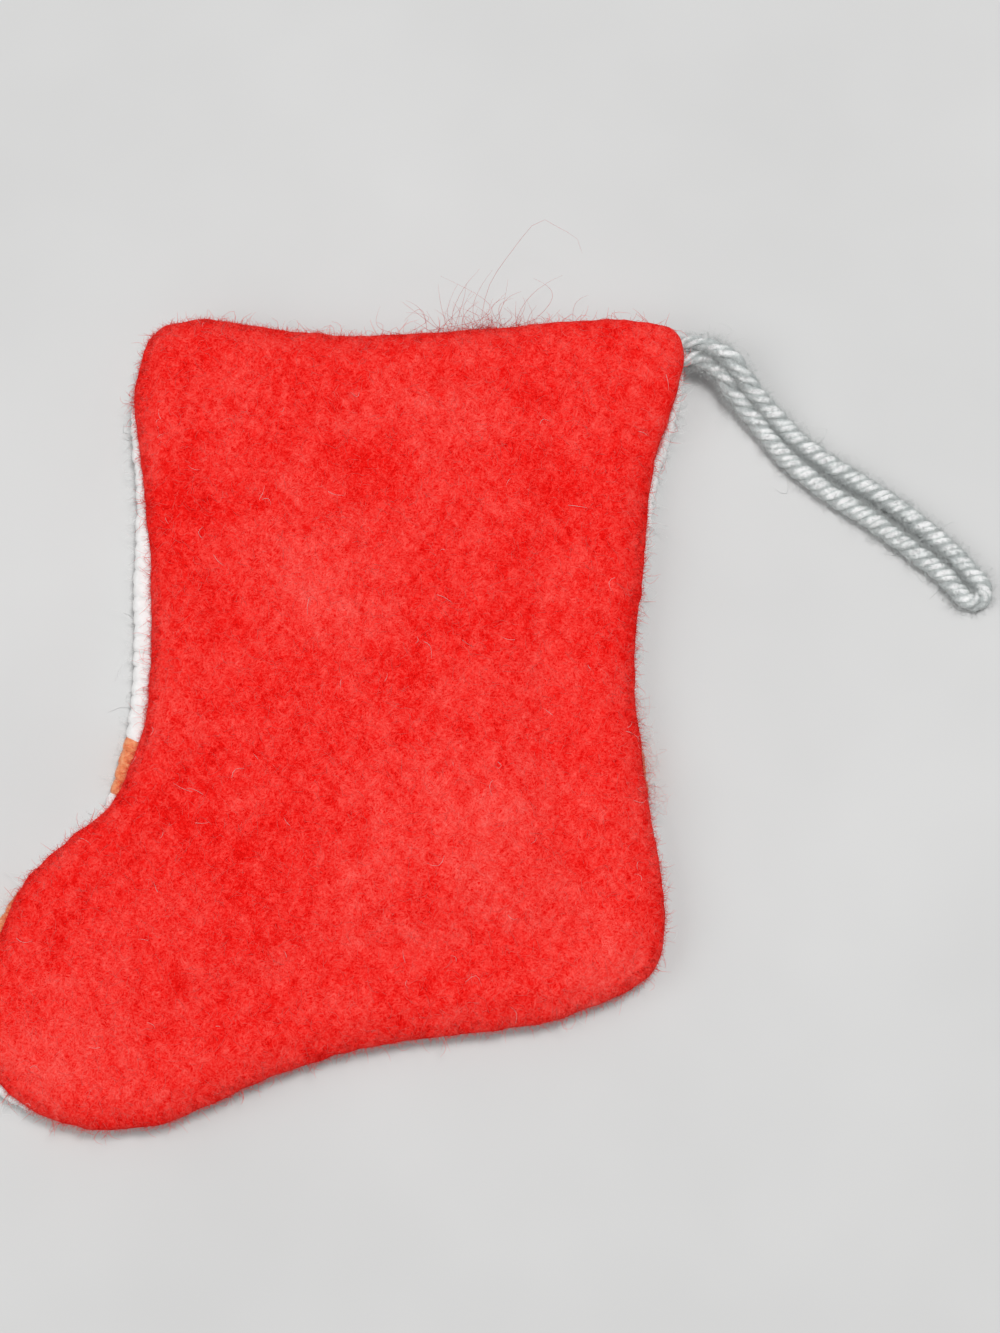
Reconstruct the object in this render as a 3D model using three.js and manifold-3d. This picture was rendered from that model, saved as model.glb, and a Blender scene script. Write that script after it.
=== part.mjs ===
// A mini Christmas stocking ornament, lying on its stitched front.
// Millimetres. +X runs from the toe to the heel, +Y from the toe to the mouth, +Z out of the felt back.
// The front is yarn stitched on canvas, with its hem turned in and its edge overcast.
// A thick wool felt back is sewn to it all round but for the mouth, and a yarn loop hangs it.
import * as THREE from "three";
import { mergeVertices } from "three/addons/utils/BufferGeometryUtils.js";
import Module from "manifold-3d";

// Outline of the felt back: mouth and cuff
const STOCKING_HEIGHT = 102.9;
const CUFF_WIDTH = 70.35;
const MOUTH_DIP = 2;
const MOUTH_DIP_PLACE = 25.65;
const MOUTH_BACK_FALL = 0.5;
const FRONT_CORNER = 7;
const FRONT_CORNER_FALL = 10.75;
const BACK_CORNER = 4;
const BACK_CORNER_SLOPE = 1.1;
const BACK_CORNER_RUN = 12;
const BACK_CORNER_FALL = 5.2;

// Outline of the felt back: leg, with the pucker behind it
const PUCKER_DROP = 19.75;
const PUCKER_DEPTH = 3.85;
const PUCKER_SHOULDER_DROP = 13.35;
const PUCKER_SHOULDER_DEPTH = 1.75;
const LEG_BACK_DROP = 34.65;
const LEG_BACK_OUTSET = 1.25;
const LEG_FRONT_RISE = 10;
const LEG_FRONT_OUTSET = 0.1;
const CUFF_FRONT_OUTSET = 2.75;
const CUFF_FRONT_DROP = 24.05;
const CUFF_FRONT_INSET = 1.5;
const ANKLE_WIDTH = 60.9;
const ANKLE_DROP = 44.85;
const ANKLE_BACK_INSET = 3.5;
const ANKLE_BACK_FALL = 1.1;
const ANKLE_FRONT_FALL = 6.1;

// Outline of the felt back: foot
const FOOT_LENGTH = 83.9;
const HEEL_RISE = 24.35;
const HEEL_BACK_HEIGHT = 16.1;
const HEEL_SHOULDER_INSET = 1.9;
const HEEL_CORNER_INSET = 2.3;
const HEEL_CORNER_DROP = 6;
const HEEL_SOLE_INSET = 12.95;
const SOLE_RISE = 13.35;
const TOE_MIDDLE_INSET = 14.6;

// How far the stitched front stands past the felt, by stretch of the edge
const REVEAL_MOUTH = -0.2;
const REVEAL_PUCKER = 1;
const REVEAL_BACK = 0.3;
const REVEAL_HEEL = -0.4;
const REVEAL_SOLE = -1.1;
const REVEAL_TOE = 1.2;
const REVEAL_INSTEP = 0.5;
const REVEAL_INSTEP_TOP = 1;
const REVEAL_ANKLE = 2.15;
const REVEAL_LEG = 2.5;
const REVEAL_CUFF = 1.4;
const REVEAL_CUFF_TOP = 0.8;
const REVEAL_FRONT_CORNER = 0.3;

// Stations of arch and ball: share of the way from heel to toe, and rise above the sole
const SOLE_STATIONS = [
  [0.51, 9.7],
  [0.8, 5.1],
];

// Stations round the toe, from the sole to the instep: inset from the tip, rise above the sole, and reveal
const TOE_STATIONS = [
  [23.6, 1, REVEAL_SOLE],
  [15.9, 0, REVEAL_SOLE],
  [9.2, 1.35, REVEAL_HEEL],
  [3.6, 5, REVEAL_TOE],
  [0.3, 10.45, REVEAL_TOE],
  [0.1, 17.45, REVEAL_TOE],
  [2.2, 23.85, REVEAL_TOE],
  [5.1, 29.95, REVEAL_INSTEP],
];

// Stations of the instep: share of the way from toe to ankle, hollow below that line, and reveal
const INSTEP_STATIONS = [
  [0.27, 1.35, REVEAL_INSTEP],
  [0.49, 3.05, REVEAL_INSTEP_TOP],
  [0.73, 2.5, REVEAL_ANKLE],
];

// Layers, from the table up
const CLEARANCE = 0.25;
const STITCH_HEIGHT = 1.2;
const CANVAS_THICKNESS = 0.5;
const HEM_WIDTH = 8;
const BINDING_FOOT = 0.15;
const BINDING_WALL = 1;
const BINDING_LAP = 2.6;
const BINDING_COVER = 0.65;
const BINDING_ROUND = 0.4;
const FELT_THICKNESS = 2.2;
const FELT_EDGE_THICKNESS = 1;
const FELT_EDGE_ROLL = 2.4;

// Form of the felt back
const CREST_INSET = 4.5;
const CREST_RISE = 0.7;
const CHANNEL_INSET = 9.5;
const CHANNEL_SINK = 0.9;
const CORNER_LIFT_FLAT = 7.5;
const CORNER_LIFT_SPREAD = 6;

// Seam thread
const SEAM_THREAD_DIAMETER = 0.5;
const SEAM_INSET = 3.6;
const SEAM_FRONT_DROP = 8;
const SEAM_BACK_DROP = 16;

// Coloured bands of the stitching
const ANKLE_BAND_DROP = 10.3;
const ANKLE_BAND_WIDTH = 6.4;
const TOE_BAND_REACH = 10.1;
const TOE_BAND_WIDTH = 5;
const TOE_BAND_TILT = 21;

// Hanger of plied yarn
const YARN_DIAMETER = 2.5;
const YARN_PRESSED = 1.9;
const LEG_GAP = 0.3;
const KNOT_RADIUS = 2.2;
const KNOT_OVERLAP = 0.6;
const TACK_DIAMETER = 1;
const TACK_BACK_INSET = 4.4;
const TACK_MOUTH_INSET = 4.75;
const ROOT_ANGLE = -2;
const HINGE_REACH = 8.6;
const TABLE_CLEARANCE = 0.05;

// Route of the hanger loop's middle line from its bend, in plan, with its share of the fall to the table
const LOOP_ROUTE = [
  [1.5, -1.3, 0.1],
  [3.3, -3.7, 0.38],
  [6.6, -7.5, 0.8],
  [9.8, -11.2, 1],
  [12.9, -13.9, 1],
  [16.1, -16.3, 1],
  [21.1, -19.6, 1],
  [26.1, -23.6, 1],
  [29.8, -26.9, 1],
  [32.6, -30.3, 1],
];

// Rows across the felt, from the mouth to the toe tip: the stations of the edge at their two ends
const FELT_ROWS = [
  [32, 5],
  [31, 6.3],
  [30, 8],
  [29, 9],
  [28, 10],
  [27, 11],
  [26, 12.3],
  [25.5, 14],
  [25, 15],
  [24.4, 16],
  [23.7, 17.2],
  [23.1, 18.4],
  [22.3, 19.6],
];

// Fineness of the meshes
const RIM_STEPS = [0, FELT_EDGE_ROLL / 2, FELT_EDGE_ROLL, CREST_INSET];
const RIM_SHARE = 0.25;
const ROW_PITCH = 9;
const END_ROWS = 3;
const FELT_COLUMNS = 12;
const FELT_LENGTHS = 25;
const FELT_STEPS = 200;
const FRONT_STEPS = 168;
const STRETCH_STEPS = 40;
const THREAD_STEPS = 72;
const THREAD_SIDES = 6;
const YARN_STEPS = 78;
const YARN_SIDES = 8;
const LEG_STATIONS = 18;
const FOLD_STATIONS = 5;
const KNOT_STEPS = 16;
const TACK_SIDES = 12;
const BEND_SEGMENTS = [10, 8];
const FOLD_TOLERANCE = 0.02;
const MERGE_TOLERANCE = 1e-4;

// Places worked out from the sizes
const yMouth = STOCKING_HEIGHT / 2;
const ySole = -STOCKING_HEIGHT / 2;
const yAnkle = yMouth - ANKLE_DROP;
const yHeel = ySole + HEEL_RISE;
const xHeel = FOOT_LENGTH / 2;
const xToe = -FOOT_LENGTH / 2;
const xAnkleBack = xHeel - ANKLE_BACK_INSET;
const xAnkleFront = xAnkleBack - ANKLE_WIDTH;
const xCuffFront = xAnkleFront - CUFF_FRONT_OUTSET;
const xCuffBack = xCuffFront + CUFF_WIDTH;
const toeMiddle = new THREE.Vector2(xToe + TOE_MIDDLE_INSET, ySole + TOE_MIDDLE_INSET);

const canvasBottom = STITCH_HEIGHT + CLEARANCE;
const canvasTop = canvasBottom + CANVAS_THICKNESS;
const hemBottom = canvasTop + CLEARANCE;
const hemTop = hemBottom + CANVAS_THICKNESS;
const canvasInset = BINDING_WALL + CLEARANCE;
const coverBottom = hemTop + CLEARANCE;
const bindingTop = coverBottom + BINDING_COVER;
const feltSeat = bindingTop + CLEARANCE;

const yarnRadius = YARN_DIAMETER / 2;
const legReach = (YARN_DIAMETER + LEG_GAP) / 2;
const rootBottom = bindingTop + CLEARANCE;
const rootTop = rootBottom + YARN_PRESSED;
const rootMiddle = (rootBottom + rootTop) / 2;
const cornerLift = rootTop + CLEARANCE - feltSeat;
const rootAngle = THREE.MathUtils.degToRad(ROOT_ANGLE);
const tackPlace = new THREE.Vector2(xCuffBack - TACK_BACK_INSET, yMouth - TACK_MOUTH_INSET);
const rootWay = directionAt(ROOT_ANGLE);
const rootSide = directionAt(ROOT_ANGLE + 90);
const hingePlace = tackPlace.clone().addScaledVector(rootWay, HINGE_REACH);

// Soft swellings of the felt over heel, toe, leg and cuff: place, spread along x and y, and height
const SWELLINGS = [
  { x: xHeel - 23.5, y: ySole + 35.4, spreadX: 12, spreadY: 11, height: 1.1 },
  { x: toeMiddle.x + 2, y: toeMiddle.y - 3.2, spreadX: 9, spreadY: 8, height: 0.9 },
  { x: xAnkleFront + 20.9, y: yAnkle + 10.9, spreadX: 9, spreadY: 8, height: 0.6 },
  { x: xCuffBack - 31.7, y: yMouth - 13.4, spreadX: 6, spreadY: 6, height: 0.5 },
];

// Shallow creases of the felt below the mouth: two ends, half width and depth
const CREASES = [
  {
    from: [xCuffFront + 30, yMouth - 8.4],
    to: [xCuffFront + 31.2, yMouth - 28.4],
    halfWidth: 3.5,
    depth: 0.5,
  },
  {
    from: [xCuffBack - 10.6, yMouth - 15.4],
    to: [xCuffBack - 16.2, yMouth - 31.4],
    halfWidth: 4,
    depth: 0.6,
  },
];

function directionAt(degrees) {
  const angle = THREE.MathUtils.degToRad(degrees);
  return new THREE.Vector2(Math.cos(angle), Math.sin(angle));
}

// Solids for cuts and joins
const wasm = await Module();
wasm.setup();

function solidOf(geometry) {
  const loose = geometry.index ? geometry.toNonIndexed() : geometry;
  const bare = new THREE.BufferGeometry();
  bare.setAttribute("position", loose.getAttribute("position"));
  const merged = mergeVertices(bare, MERGE_TOLERANCE);
  const vertProperties = merged.getAttribute("position").array;
  const triVerts = new Uint32Array(merged.index.array);
  return new wasm.Manifold(new wasm.Mesh({ numProp: 3, vertProperties, triVerts }));
}

function geometryOf(solid) {
  const { vertProperties, triVerts } = solid.getMesh();
  const geometry = new THREE.BufferGeometry();
  geometry.setAttribute("position", new THREE.BufferAttribute(vertProperties, 3));
  geometry.setIndex(new THREE.BufferAttribute(triVerts, 1));
  return geometry;
}

// Stations of the felt's edge, clockwise from the mouth's front corner: x, y and the front's reveal there
function stations() {
  const cornerShare = 1 - Math.SQRT1_2;
  const frontCut = FRONT_CORNER * cornerShare;
  const backCut = BACK_CORNER * cornerShare;
  const yBackCorner = yMouth - BACK_CORNER_SLOPE;
  const toe = TOE_STATIONS.map(([inset, rise, reveal]) => [xToe + inset, ySole + rise, reveal]);
  const heelSole = [xHeel - HEEL_SOLE_INSET, ySole + SOLE_RISE, REVEAL_SOLE];
  const sole = SOLE_STATIONS.map(([share, rise]) => {
    return [THREE.MathUtils.lerp(heelSole[0], toe[0][0], share), ySole + rise, REVEAL_SOLE];
  });
  const toeTop = new THREE.Vector2(...toe.at(-1));
  const ankleFront = new THREE.Vector2(xAnkleFront, yAnkle - ANKLE_FRONT_FALL);
  const instepWay = ankleFront.clone().sub(toeTop).normalize();
  const instep = INSTEP_STATIONS.map(([share, hollow, reveal]) => {
    const place = toeTop.clone().lerp(ankleFront, share);
    return [place.x + hollow * instepWay.y, place.y - hollow * instepWay.x, reveal];
  });
  return [
    [xCuffFront + frontCut, yMouth - frontCut, REVEAL_FRONT_CORNER],
    [xCuffFront + FRONT_CORNER, yMouth, REVEAL_MOUTH],
    [xCuffFront + MOUTH_DIP_PLACE, yMouth - MOUTH_DIP, REVEAL_MOUTH],
    [xCuffBack - BACK_CORNER_RUN, yMouth - MOUTH_BACK_FALL, REVEAL_MOUTH],
    [xCuffBack - BACK_CORNER, yBackCorner, REVEAL_MOUTH],
    [xCuffBack - backCut, yBackCorner - backCut, REVEAL_MOUTH],
    [xCuffBack, yBackCorner - BACK_CORNER_FALL, REVEAL_BACK],
    [xCuffBack - PUCKER_SHOULDER_DEPTH, yMouth - PUCKER_SHOULDER_DROP, REVEAL_PUCKER],
    [xCuffBack - PUCKER_DEPTH, yMouth - PUCKER_DROP, REVEAL_PUCKER],
    [xAnkleBack + LEG_BACK_OUTSET, yMouth - LEG_BACK_DROP, REVEAL_BACK],
    [xAnkleBack, yAnkle - ANKLE_BACK_FALL, REVEAL_BACK],
    [xHeel - HEEL_SHOULDER_INSET, yHeel + HEEL_BACK_HEIGHT, REVEAL_BACK],
    [xHeel, yHeel, REVEAL_HEEL],
    [xHeel - HEEL_CORNER_INSET, yHeel - HEEL_CORNER_DROP, REVEAL_HEEL],
    heelSole,
    ...sole,
    ...toe,
    ...instep,
    [ankleFront.x, ankleFront.y, REVEAL_LEG],
    [xAnkleFront - LEG_FRONT_OUTSET, yAnkle + LEG_FRONT_RISE, REVEAL_LEG],
    [xCuffFront + CUFF_FRONT_INSET, yMouth - CUFF_FRONT_DROP, REVEAL_CUFF],
    [xCuffFront, yMouth - FRONT_CORNER_FALL, REVEAL_CUFF_TOP],
  ];
}

// Outward normal of each point of a clockwise closed outline
function outwardNormals(points) {
  const count = points.length;
  return points.map((_, i) => {
    const before = points[(i + count - 1) % count];
    const after = points[(i + 1) % count];
    return new THREE.Vector2(before.y - after.y, after.x - before.x).normalize();
  });
}

function closedCurve(points) {
  const nodes = points.map((p) => new THREE.Vector3(p.x, p.y, 0));
  return new THREE.CatmullRomCurve3(nodes, true, "centripetal");
}

function spacedOutline(curve, steps) {
  const spaced = curve.getSpacedPoints(steps).slice(0, steps);
  return spaced.map((p) => new THREE.Vector2(p.x, p.y));
}

function distanceToOutline(point, points) {
  const step = new THREE.Vector2();
  const toPoint = new THREE.Vector2();
  let least = Infinity;
  points.forEach((start, i) => {
    step.subVectors(points[(i + 1) % points.length], start);
    toPoint.subVectors(point, start);
    const share = THREE.MathUtils.clamp(toPoint.dot(step) / step.lengthSq(), 0, 1);
    least = Math.min(least, toPoint.addScaledVector(step, -share).length());
  });
  return least;
}

// Where two lines cross, each through a point and square to a normal
function crossing(a, normalA, b, normalB) {
  const spread = normalA.cross(normalB);
  const reachA = normalA.dot(a);
  const reachB = normalB.dot(b);
  const x = (reachA * normalB.y - reachB * normalA.y) / spread;
  const y = (reachB * normalA.x - reachA * normalB.x) / spread;
  return new THREE.Vector2(x, y);
}

// The outline moved inwards; at a corner too tight to move, its two sides run on to their crossing
function insetOutline(points, distance) {
  const count = points.length;
  const normals = outwardNormals(points);
  const moved = points.map((p, i) => p.clone().addScaledVector(normals[i], -distance));
  const clear = moved.map((p) => distanceToOutline(p, points) > distance - FOLD_TOLERANCE);
  return moved.flatMap((p, i) => {
    if (!clear[i]) return [];
    let after = (i + 1) % count;
    if (clear[after]) return [p];
    while (!clear[after]) after = (after + 1) % count;
    return [p, crossing(p, normals[i], moved[after], normals[after])];
  });
}

function frontOutline() {
  const places = feltStations.map(([x, y]) => new THREE.Vector2(x, y));
  const normals = outwardNormals(places);
  places.forEach((p, i) => p.addScaledVector(normals[i], feltStations[i][2]));
  return spacedOutline(closedCurve(places), FRONT_STEPS);
}

const feltStations = stations();
const feltCurve = closedCurve(feltStations.map(([x, y]) => new THREE.Vector2(x, y)));
const feltEdge = spacedOutline(feltCurve, FELT_STEPS);
const frontEdge = frontOutline();
const sewnEdge = feltEdge.filter((p) => p.y < yMouth - BACK_CORNER || p.x < xCuffFront + FRONT_CORNER / 2);

// Solids over an outline
function prism(points, bottom, top) {
  const depth = top - bottom;
  const geometry = new THREE.ExtrudeGeometry(new THREE.Shape(points), { depth, bevelEnabled: false });
  return solidOf(geometry.translate(0, 0, bottom));
}

// A prism whose top and bottom edges are rounded off inside its outline
function roundedPrism(points, bottom, top, round) {
  const geometry = new THREE.ExtrudeGeometry(new THREE.Shape(points), {
    depth: top - bottom - 2 * round,
    bevelEnabled: true,
    bevelThickness: round,
    bevelSize: round,
    bevelOffset: -round,
    bevelSegments: 1,
  });
  return solidOf(geometry.translate(0, 0, bottom + round));
}

// All that lies between two parallel upright planes, measured along a direction in plan
function slab(degrees, from, to) {
  const reach = 2 * farOff;
  const geometry = new THREE.BoxGeometry(to - from, reach, reach);
  geometry.translate((from + to) / 2, 0, 0);
  return solidOf(geometry.rotateZ(THREE.MathUtils.degToRad(degrees)));
}

function tube(curve, radius, sides, steps) {
  const section = new THREE.Shape();
  for (let k = 0; k < sides; k++) {
    const angle = ((k + 0.5) / sides) * 2 * Math.PI;
    const corner = [radius * Math.cos(angle), radius * Math.sin(angle)];
    if (k === 0) section.moveTo(...corner);
    else section.lineTo(...corner);
  }
  section.closePath();
  return solidOf(new THREE.ExtrudeGeometry(section, { steps, extrudePath: curve, bevelEnabled: false }));
}

// Form of the felt
function swellingAt(point) {
  return SWELLINGS.reduce((sum, { x, y, spreadX, spreadY, height }) => {
    const spread = ((point.x - x) / spreadX) ** 2 + ((point.y - y) / spreadY) ** 2;
    return sum + height * Math.exp(-spread);
  }, 0);
}

function creaseAt(point) {
  return CREASES.reduce((sum, { from, to, halfWidth, depth }) => {
    const line = new THREE.Line3(new THREE.Vector3(...from, 0), new THREE.Vector3(...to, 0));
    const place = new THREE.Vector3(point.x, point.y, 0);
    const nearest = line.closestPointToPoint(place, true, new THREE.Vector3());
    return sum + depth * Math.exp(-((nearest.distanceTo(place) / halfWidth) ** 2));
  }, 0);
}

// Height of the felt's underside: a crest inside the seam, a channel inside the hem, a lift over the knot
function undersideAt(point) {
  const inset = distanceToOutline(point, feltEdge);
  const fromSeam = Math.min(...sewnEdge.map((p) => p.distanceTo(point)));
  const crest = CREST_RISE * THREE.MathUtils.smoothstep(inset, 0, CREST_INSET);
  const channel = CHANNEL_SINK * Math.exp(-(((fromSeam - CHANNEL_INSET) / CREST_INSET) ** 2));
  const settled = THREE.MathUtils.smoothstep(inset, CREST_INSET, CHANNEL_INSET);
  const form = settled * (swellingAt(point) - creaseAt(point) - channel);
  const fromTack = point.distanceTo(tackPlace);
  const spread = CORNER_LIFT_FLAT + CORNER_LIFT_SPREAD;
  const lift = cornerLift * (1 - THREE.MathUtils.smoothstep(fromTack, CORNER_LIFT_FLAT, spread));
  return feltSeat + Math.max(crest + form, lift);
}

function feltThicknessAt(point) {
  const share = Math.min(distanceToOutline(point, feltEdge) / FELT_EDGE_ROLL, 1);
  return THREE.MathUtils.lerp(FELT_EDGE_THICKNESS, FELT_THICKNESS, share);
}

// Place on the felt's edge by station number
function feltEdgeAt(station) {
  const count = feltStations.length;
  const place = feltCurve.getPoint((station % count) / count);
  return new THREE.Vector2(place.x, place.y);
}

// Stretch of the felt's edge between two stations, as a curve by length
function edgeStretch(from, to) {
  const places = [];
  for (let k = 0; k <= STRETCH_STEPS; k++) {
    const place = feltEdgeAt(THREE.MathUtils.lerp(from, to, k / STRETCH_STEPS));
    places.push(new THREE.Vector3(place.x, place.y, 0));
  }
  return new THREE.CatmullRomCurve3(places);
}

const mouthStretch = edgeStretch(FELT_ROWS[0][0], FELT_ROWS[0][1] + feltStations.length);
const toeStretch = edgeStretch(...FELT_ROWS.at(-1));

// How far a stretch of edge stands off its own chord
function bulge(stretch, share) {
  const [start, end, at] = [0, 1, share].map((s) => stretch.getPointAt(s));
  return new THREE.Vector2(at.x, at.y).sub(new THREE.Vector2(start.x, start.y).lerp(end, share));
}

// Shares from 0 to 1, or places from 0 to a length, close together inside both ends
function spreadOut(rim, length, count) {
  const inner = rim.at(-1);
  const between = Array.from({ length: count - 1 }, (_, k) => {
    return THREE.MathUtils.lerp(inner, length - inner, (k + 1) / count);
  });
  return [...rim, ...between, ...rim.map((step) => length - step).reverse()];
}

// Places across the felt on one row
function rowPlaces(stop) {
  const last = FELT_ROWS.length - 1;
  const index = Math.min(Math.floor(stop), last - 1);
  const [front, back] = [0, 1].map((side) => {
    return feltEdgeAt(THREE.MathUtils.lerp(FELT_ROWS[index][side], FELT_ROWS[index + 1][side], stop - index));
  });
  const width = front.distanceTo(back);
  const rim = RIM_STEPS.map((step) => Math.min(step / width, (RIM_SHARE * step) / CREST_INSET));
  const mouthShare = Math.max(1 - stop / END_ROWS, 0);
  const toeShare = Math.max(1 - (last - stop) / END_ROWS, 0);
  return spreadOut(rim, 1, FELT_COLUMNS).map((share) => {
    const place = front.clone().lerp(back, share);
    place.addScaledVector(bulge(mouthStretch, share), mouthShare);
    return place.addScaledVector(bulge(toeStretch, share), toeShare);
  });
}

// Felt back: a closed sheet whose rows run from edge to edge
function feltBack() {
  const rim = RIM_STEPS.map((step) => step / ROW_PITCH);
  const grid = spreadOut(rim, FELT_ROWS.length - 1, FELT_LENGTHS).map((stop) => rowPlaces(stop));
  const lastRow = grid.length - 1;
  const lastColumn = grid[0].length - 1;
  const positions = grid.flat().flatMap((place) => {
    const bottom = undersideAt(place);
    return [place.x, place.y, bottom, place.x, place.y, bottom + feltThicknessAt(place)];
  });
  const lower = (row, column) => 2 * (row * grid[0].length + column);
  const upper = (row, column) => lower(row, column) + 1;
  const faces = [];
  const quad = (a, b, c, d) => faces.push(a, b, c, a, c, d);
  for (let row = 0; row < lastRow; row++) {
    const next = row + 1;
    for (let k = 0; k < lastColumn; k++) {
      quad(upper(row, k), upper(next, k), upper(next, k + 1), upper(row, k + 1));
      quad(lower(row, k), lower(row, k + 1), lower(next, k + 1), lower(next, k));
    }
    quad(lower(row, 0), lower(next, 0), upper(next, 0), upper(row, 0));
    quad(upper(row, lastColumn), upper(next, lastColumn), lower(next, lastColumn), lower(row, lastColumn));
  }
  for (let k = 0; k < lastColumn; k++) {
    quad(upper(0, k), upper(0, k + 1), lower(0, k + 1), lower(0, k));
    quad(lower(lastRow, k), lower(lastRow, k + 1), upper(lastRow, k + 1), upper(lastRow, k));
  }
  const geometry = new THREE.BufferGeometry();
  geometry.setAttribute("position", new THREE.Float32BufferAttribute(positions, 3));
  return solidOf(geometry.setIndex(faces));
}

// Canvas with its hem folded in all round
function frontCanvas() {
  const sheet = prism(insetOutline(frontEdge, canvasInset), canvasBottom, hemTop);
  const fold = prism(insetOutline(frontEdge, canvasInset + CANVAS_THICKNESS), canvasTop, hemBottom);
  const middle = prism(insetOutline(frontEdge, canvasInset + HEM_WIDTH), canvasTop, hemTop + CLEARANCE);
  return sheet.subtract(fold).subtract(middle);
}

// Planes that part the coloured stretches of yarn
const yBandTop = yAnkle - ANKLE_BAND_DROP;
const yBandBottom = yBandTop - ANKLE_BAND_WIDTH;
const toeAngle = 180 + TOE_BAND_TILT;
const toeBandEnd = toeMiddle.dot(directionAt(toeAngle)) + TOE_BAND_REACH;
const toeBandStart = toeBandEnd - TOE_BAND_WIDTH;
const bandMiddle = new THREE.Vector2((xAnkleFront + xAnkleBack) / 2, (yBandTop + yBandBottom) / 2);
const footAngle = THREE.MathUtils.radToDeg(bandMiddle.clone().sub(toeMiddle).angle()) + 90;
const footLine = toeMiddle.dot(directionAt(footAngle));
const farOff = STOCKING_HEIGHT + FOOT_LENGTH;
const half = CLEARANCE / 2;

const legSide = slab(90, yBandTop + half, farOff);
const ankleSide = slab(90, yBandBottom + half, yBandTop - half);
const belowAnkle = slab(90, -farOff, yBandBottom - half);
const footSide = belowAnkle.intersect(slab(toeAngle, -farOff, toeBandStart - half));
const toeBandSide = slab(toeAngle, toeBandStart + half, toeBandEnd - half);
const toeSide = slab(toeAngle, toeBandEnd + half, farOff);
const upperSide = slab(footAngle, footLine + half, farOff);
const lowerSide = slab(footAngle, -farOff, footLine - half);

// Overcast edge: yarn wrapped round the folded canvas in a C
function edgeBinding() {
  const ring = roundedPrism(frontEdge, BINDING_FOOT, bindingTop, BINDING_ROUND);
  const middle = prism(insetOutline(frontEdge, BINDING_LAP), 0, bindingTop + CLEARANCE);
  const groove = prism(insetOutline(frontEdge, BINDING_WALL), STITCH_HEIGHT, coverBottom);
  return ring.subtract(middle).subtract(groove);
}

// Seam thread, running between the hem and the felt just inside the overcast edge
function seamThread() {
  const path = insetOutline(frontEdge, SEAM_INSET);
  const start = path.findIndex((p) => p.x > bandMiddle.x && p.y < yMouth - SEAM_BACK_DROP);
  const ordered = [...path.slice(start), ...path.slice(0, start)];
  const sewn = ordered.filter((p) => p.y < yMouth - (p.x > bandMiddle.x ? SEAM_BACK_DROP : SEAM_FRONT_DROP));
  const height = (hemTop + feltSeat) / 2;
  const curve = new THREE.CatmullRomCurve3(sewn.map((p) => new THREE.Vector3(p.x, p.y, height)));
  return tube(curve, SEAM_THREAD_DIAMETER / 2, THREAD_SIDES, THREAD_STEPS);
}

// Hanger: the yarn's tied ends on their tack, and the loop that bends up from them
function hangerTack() {
  const bottom = hemTop + CLEARANCE;
  const height = rootTop - bottom;
  const geometry = new THREE.CylinderGeometry(TACK_DIAMETER / 2, TACK_DIAMETER / 2, height, TACK_SIDES);
  geometry.rotateX(Math.PI / 2).translate(tackPlace.x, tackPlace.y, bottom + height / 2);
  return solidOf(geometry);
}

function hangerRoot() {
  const bore = TACK_DIAMETER / 2 + CLEARANCE;
  const cornerTurn = Math.PI / YARN_SIDES;
  const cornerReach = 1 / Math.cos(cornerTurn);
  const section = Array.from({ length: YARN_SIDES + 1 }, (_, k) => {
    const angle = (2 * k + 1) * cornerTurn;
    const across = ((KNOT_RADIUS - bore) / 2) * cornerReach * Math.cos(angle);
    const height = (YARN_PRESSED / 2) * cornerReach * Math.sin(angle);
    return new THREE.Vector2((KNOT_RADIUS + bore) / 2 + across, height);
  });
  const knot = new THREE.LatheGeometry(section, KNOT_STEPS).rotateX(Math.PI / 2);
  knot.translate(tackPlace.x, tackPlace.y, rootMiddle);
  const start = KNOT_RADIUS - KNOT_OVERLAP;
  const length = HINGE_REACH - yarnRadius - CLEARANCE - start;
  const stub = (side) => {
    const geometry = new THREE.CylinderGeometry(yarnRadius, yarnRadius, length, YARN_SIDES);
    geometry.rotateY(cornerTurn).rotateZ(-Math.PI / 2);
    geometry.scale(1, 1, (cornerReach * YARN_PRESSED) / YARN_DIAMETER);
    geometry.translate(start + length / 2, side * legReach, 0);
    return solidOf(geometry.rotateZ(rootAngle).translate(tackPlace.x, tackPlace.y, rootMiddle));
  };
  return solidOf(knot).add(stub(1)).add(stub(-1));
}

function loopMiddle() {
  const restHeight = yarnRadius + TABLE_CLEARANCE;
  const route = [[0, 0, 0], ...LOOP_ROUTE].map(([x, y, fall]) => {
    const height = THREE.MathUtils.lerp(rootMiddle, restHeight, fall);
    return new THREE.Vector3(hingePlace.x + x, hingePlace.y + y, height);
  });
  return new THREE.CatmullRomCurve3(route);
}

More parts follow.
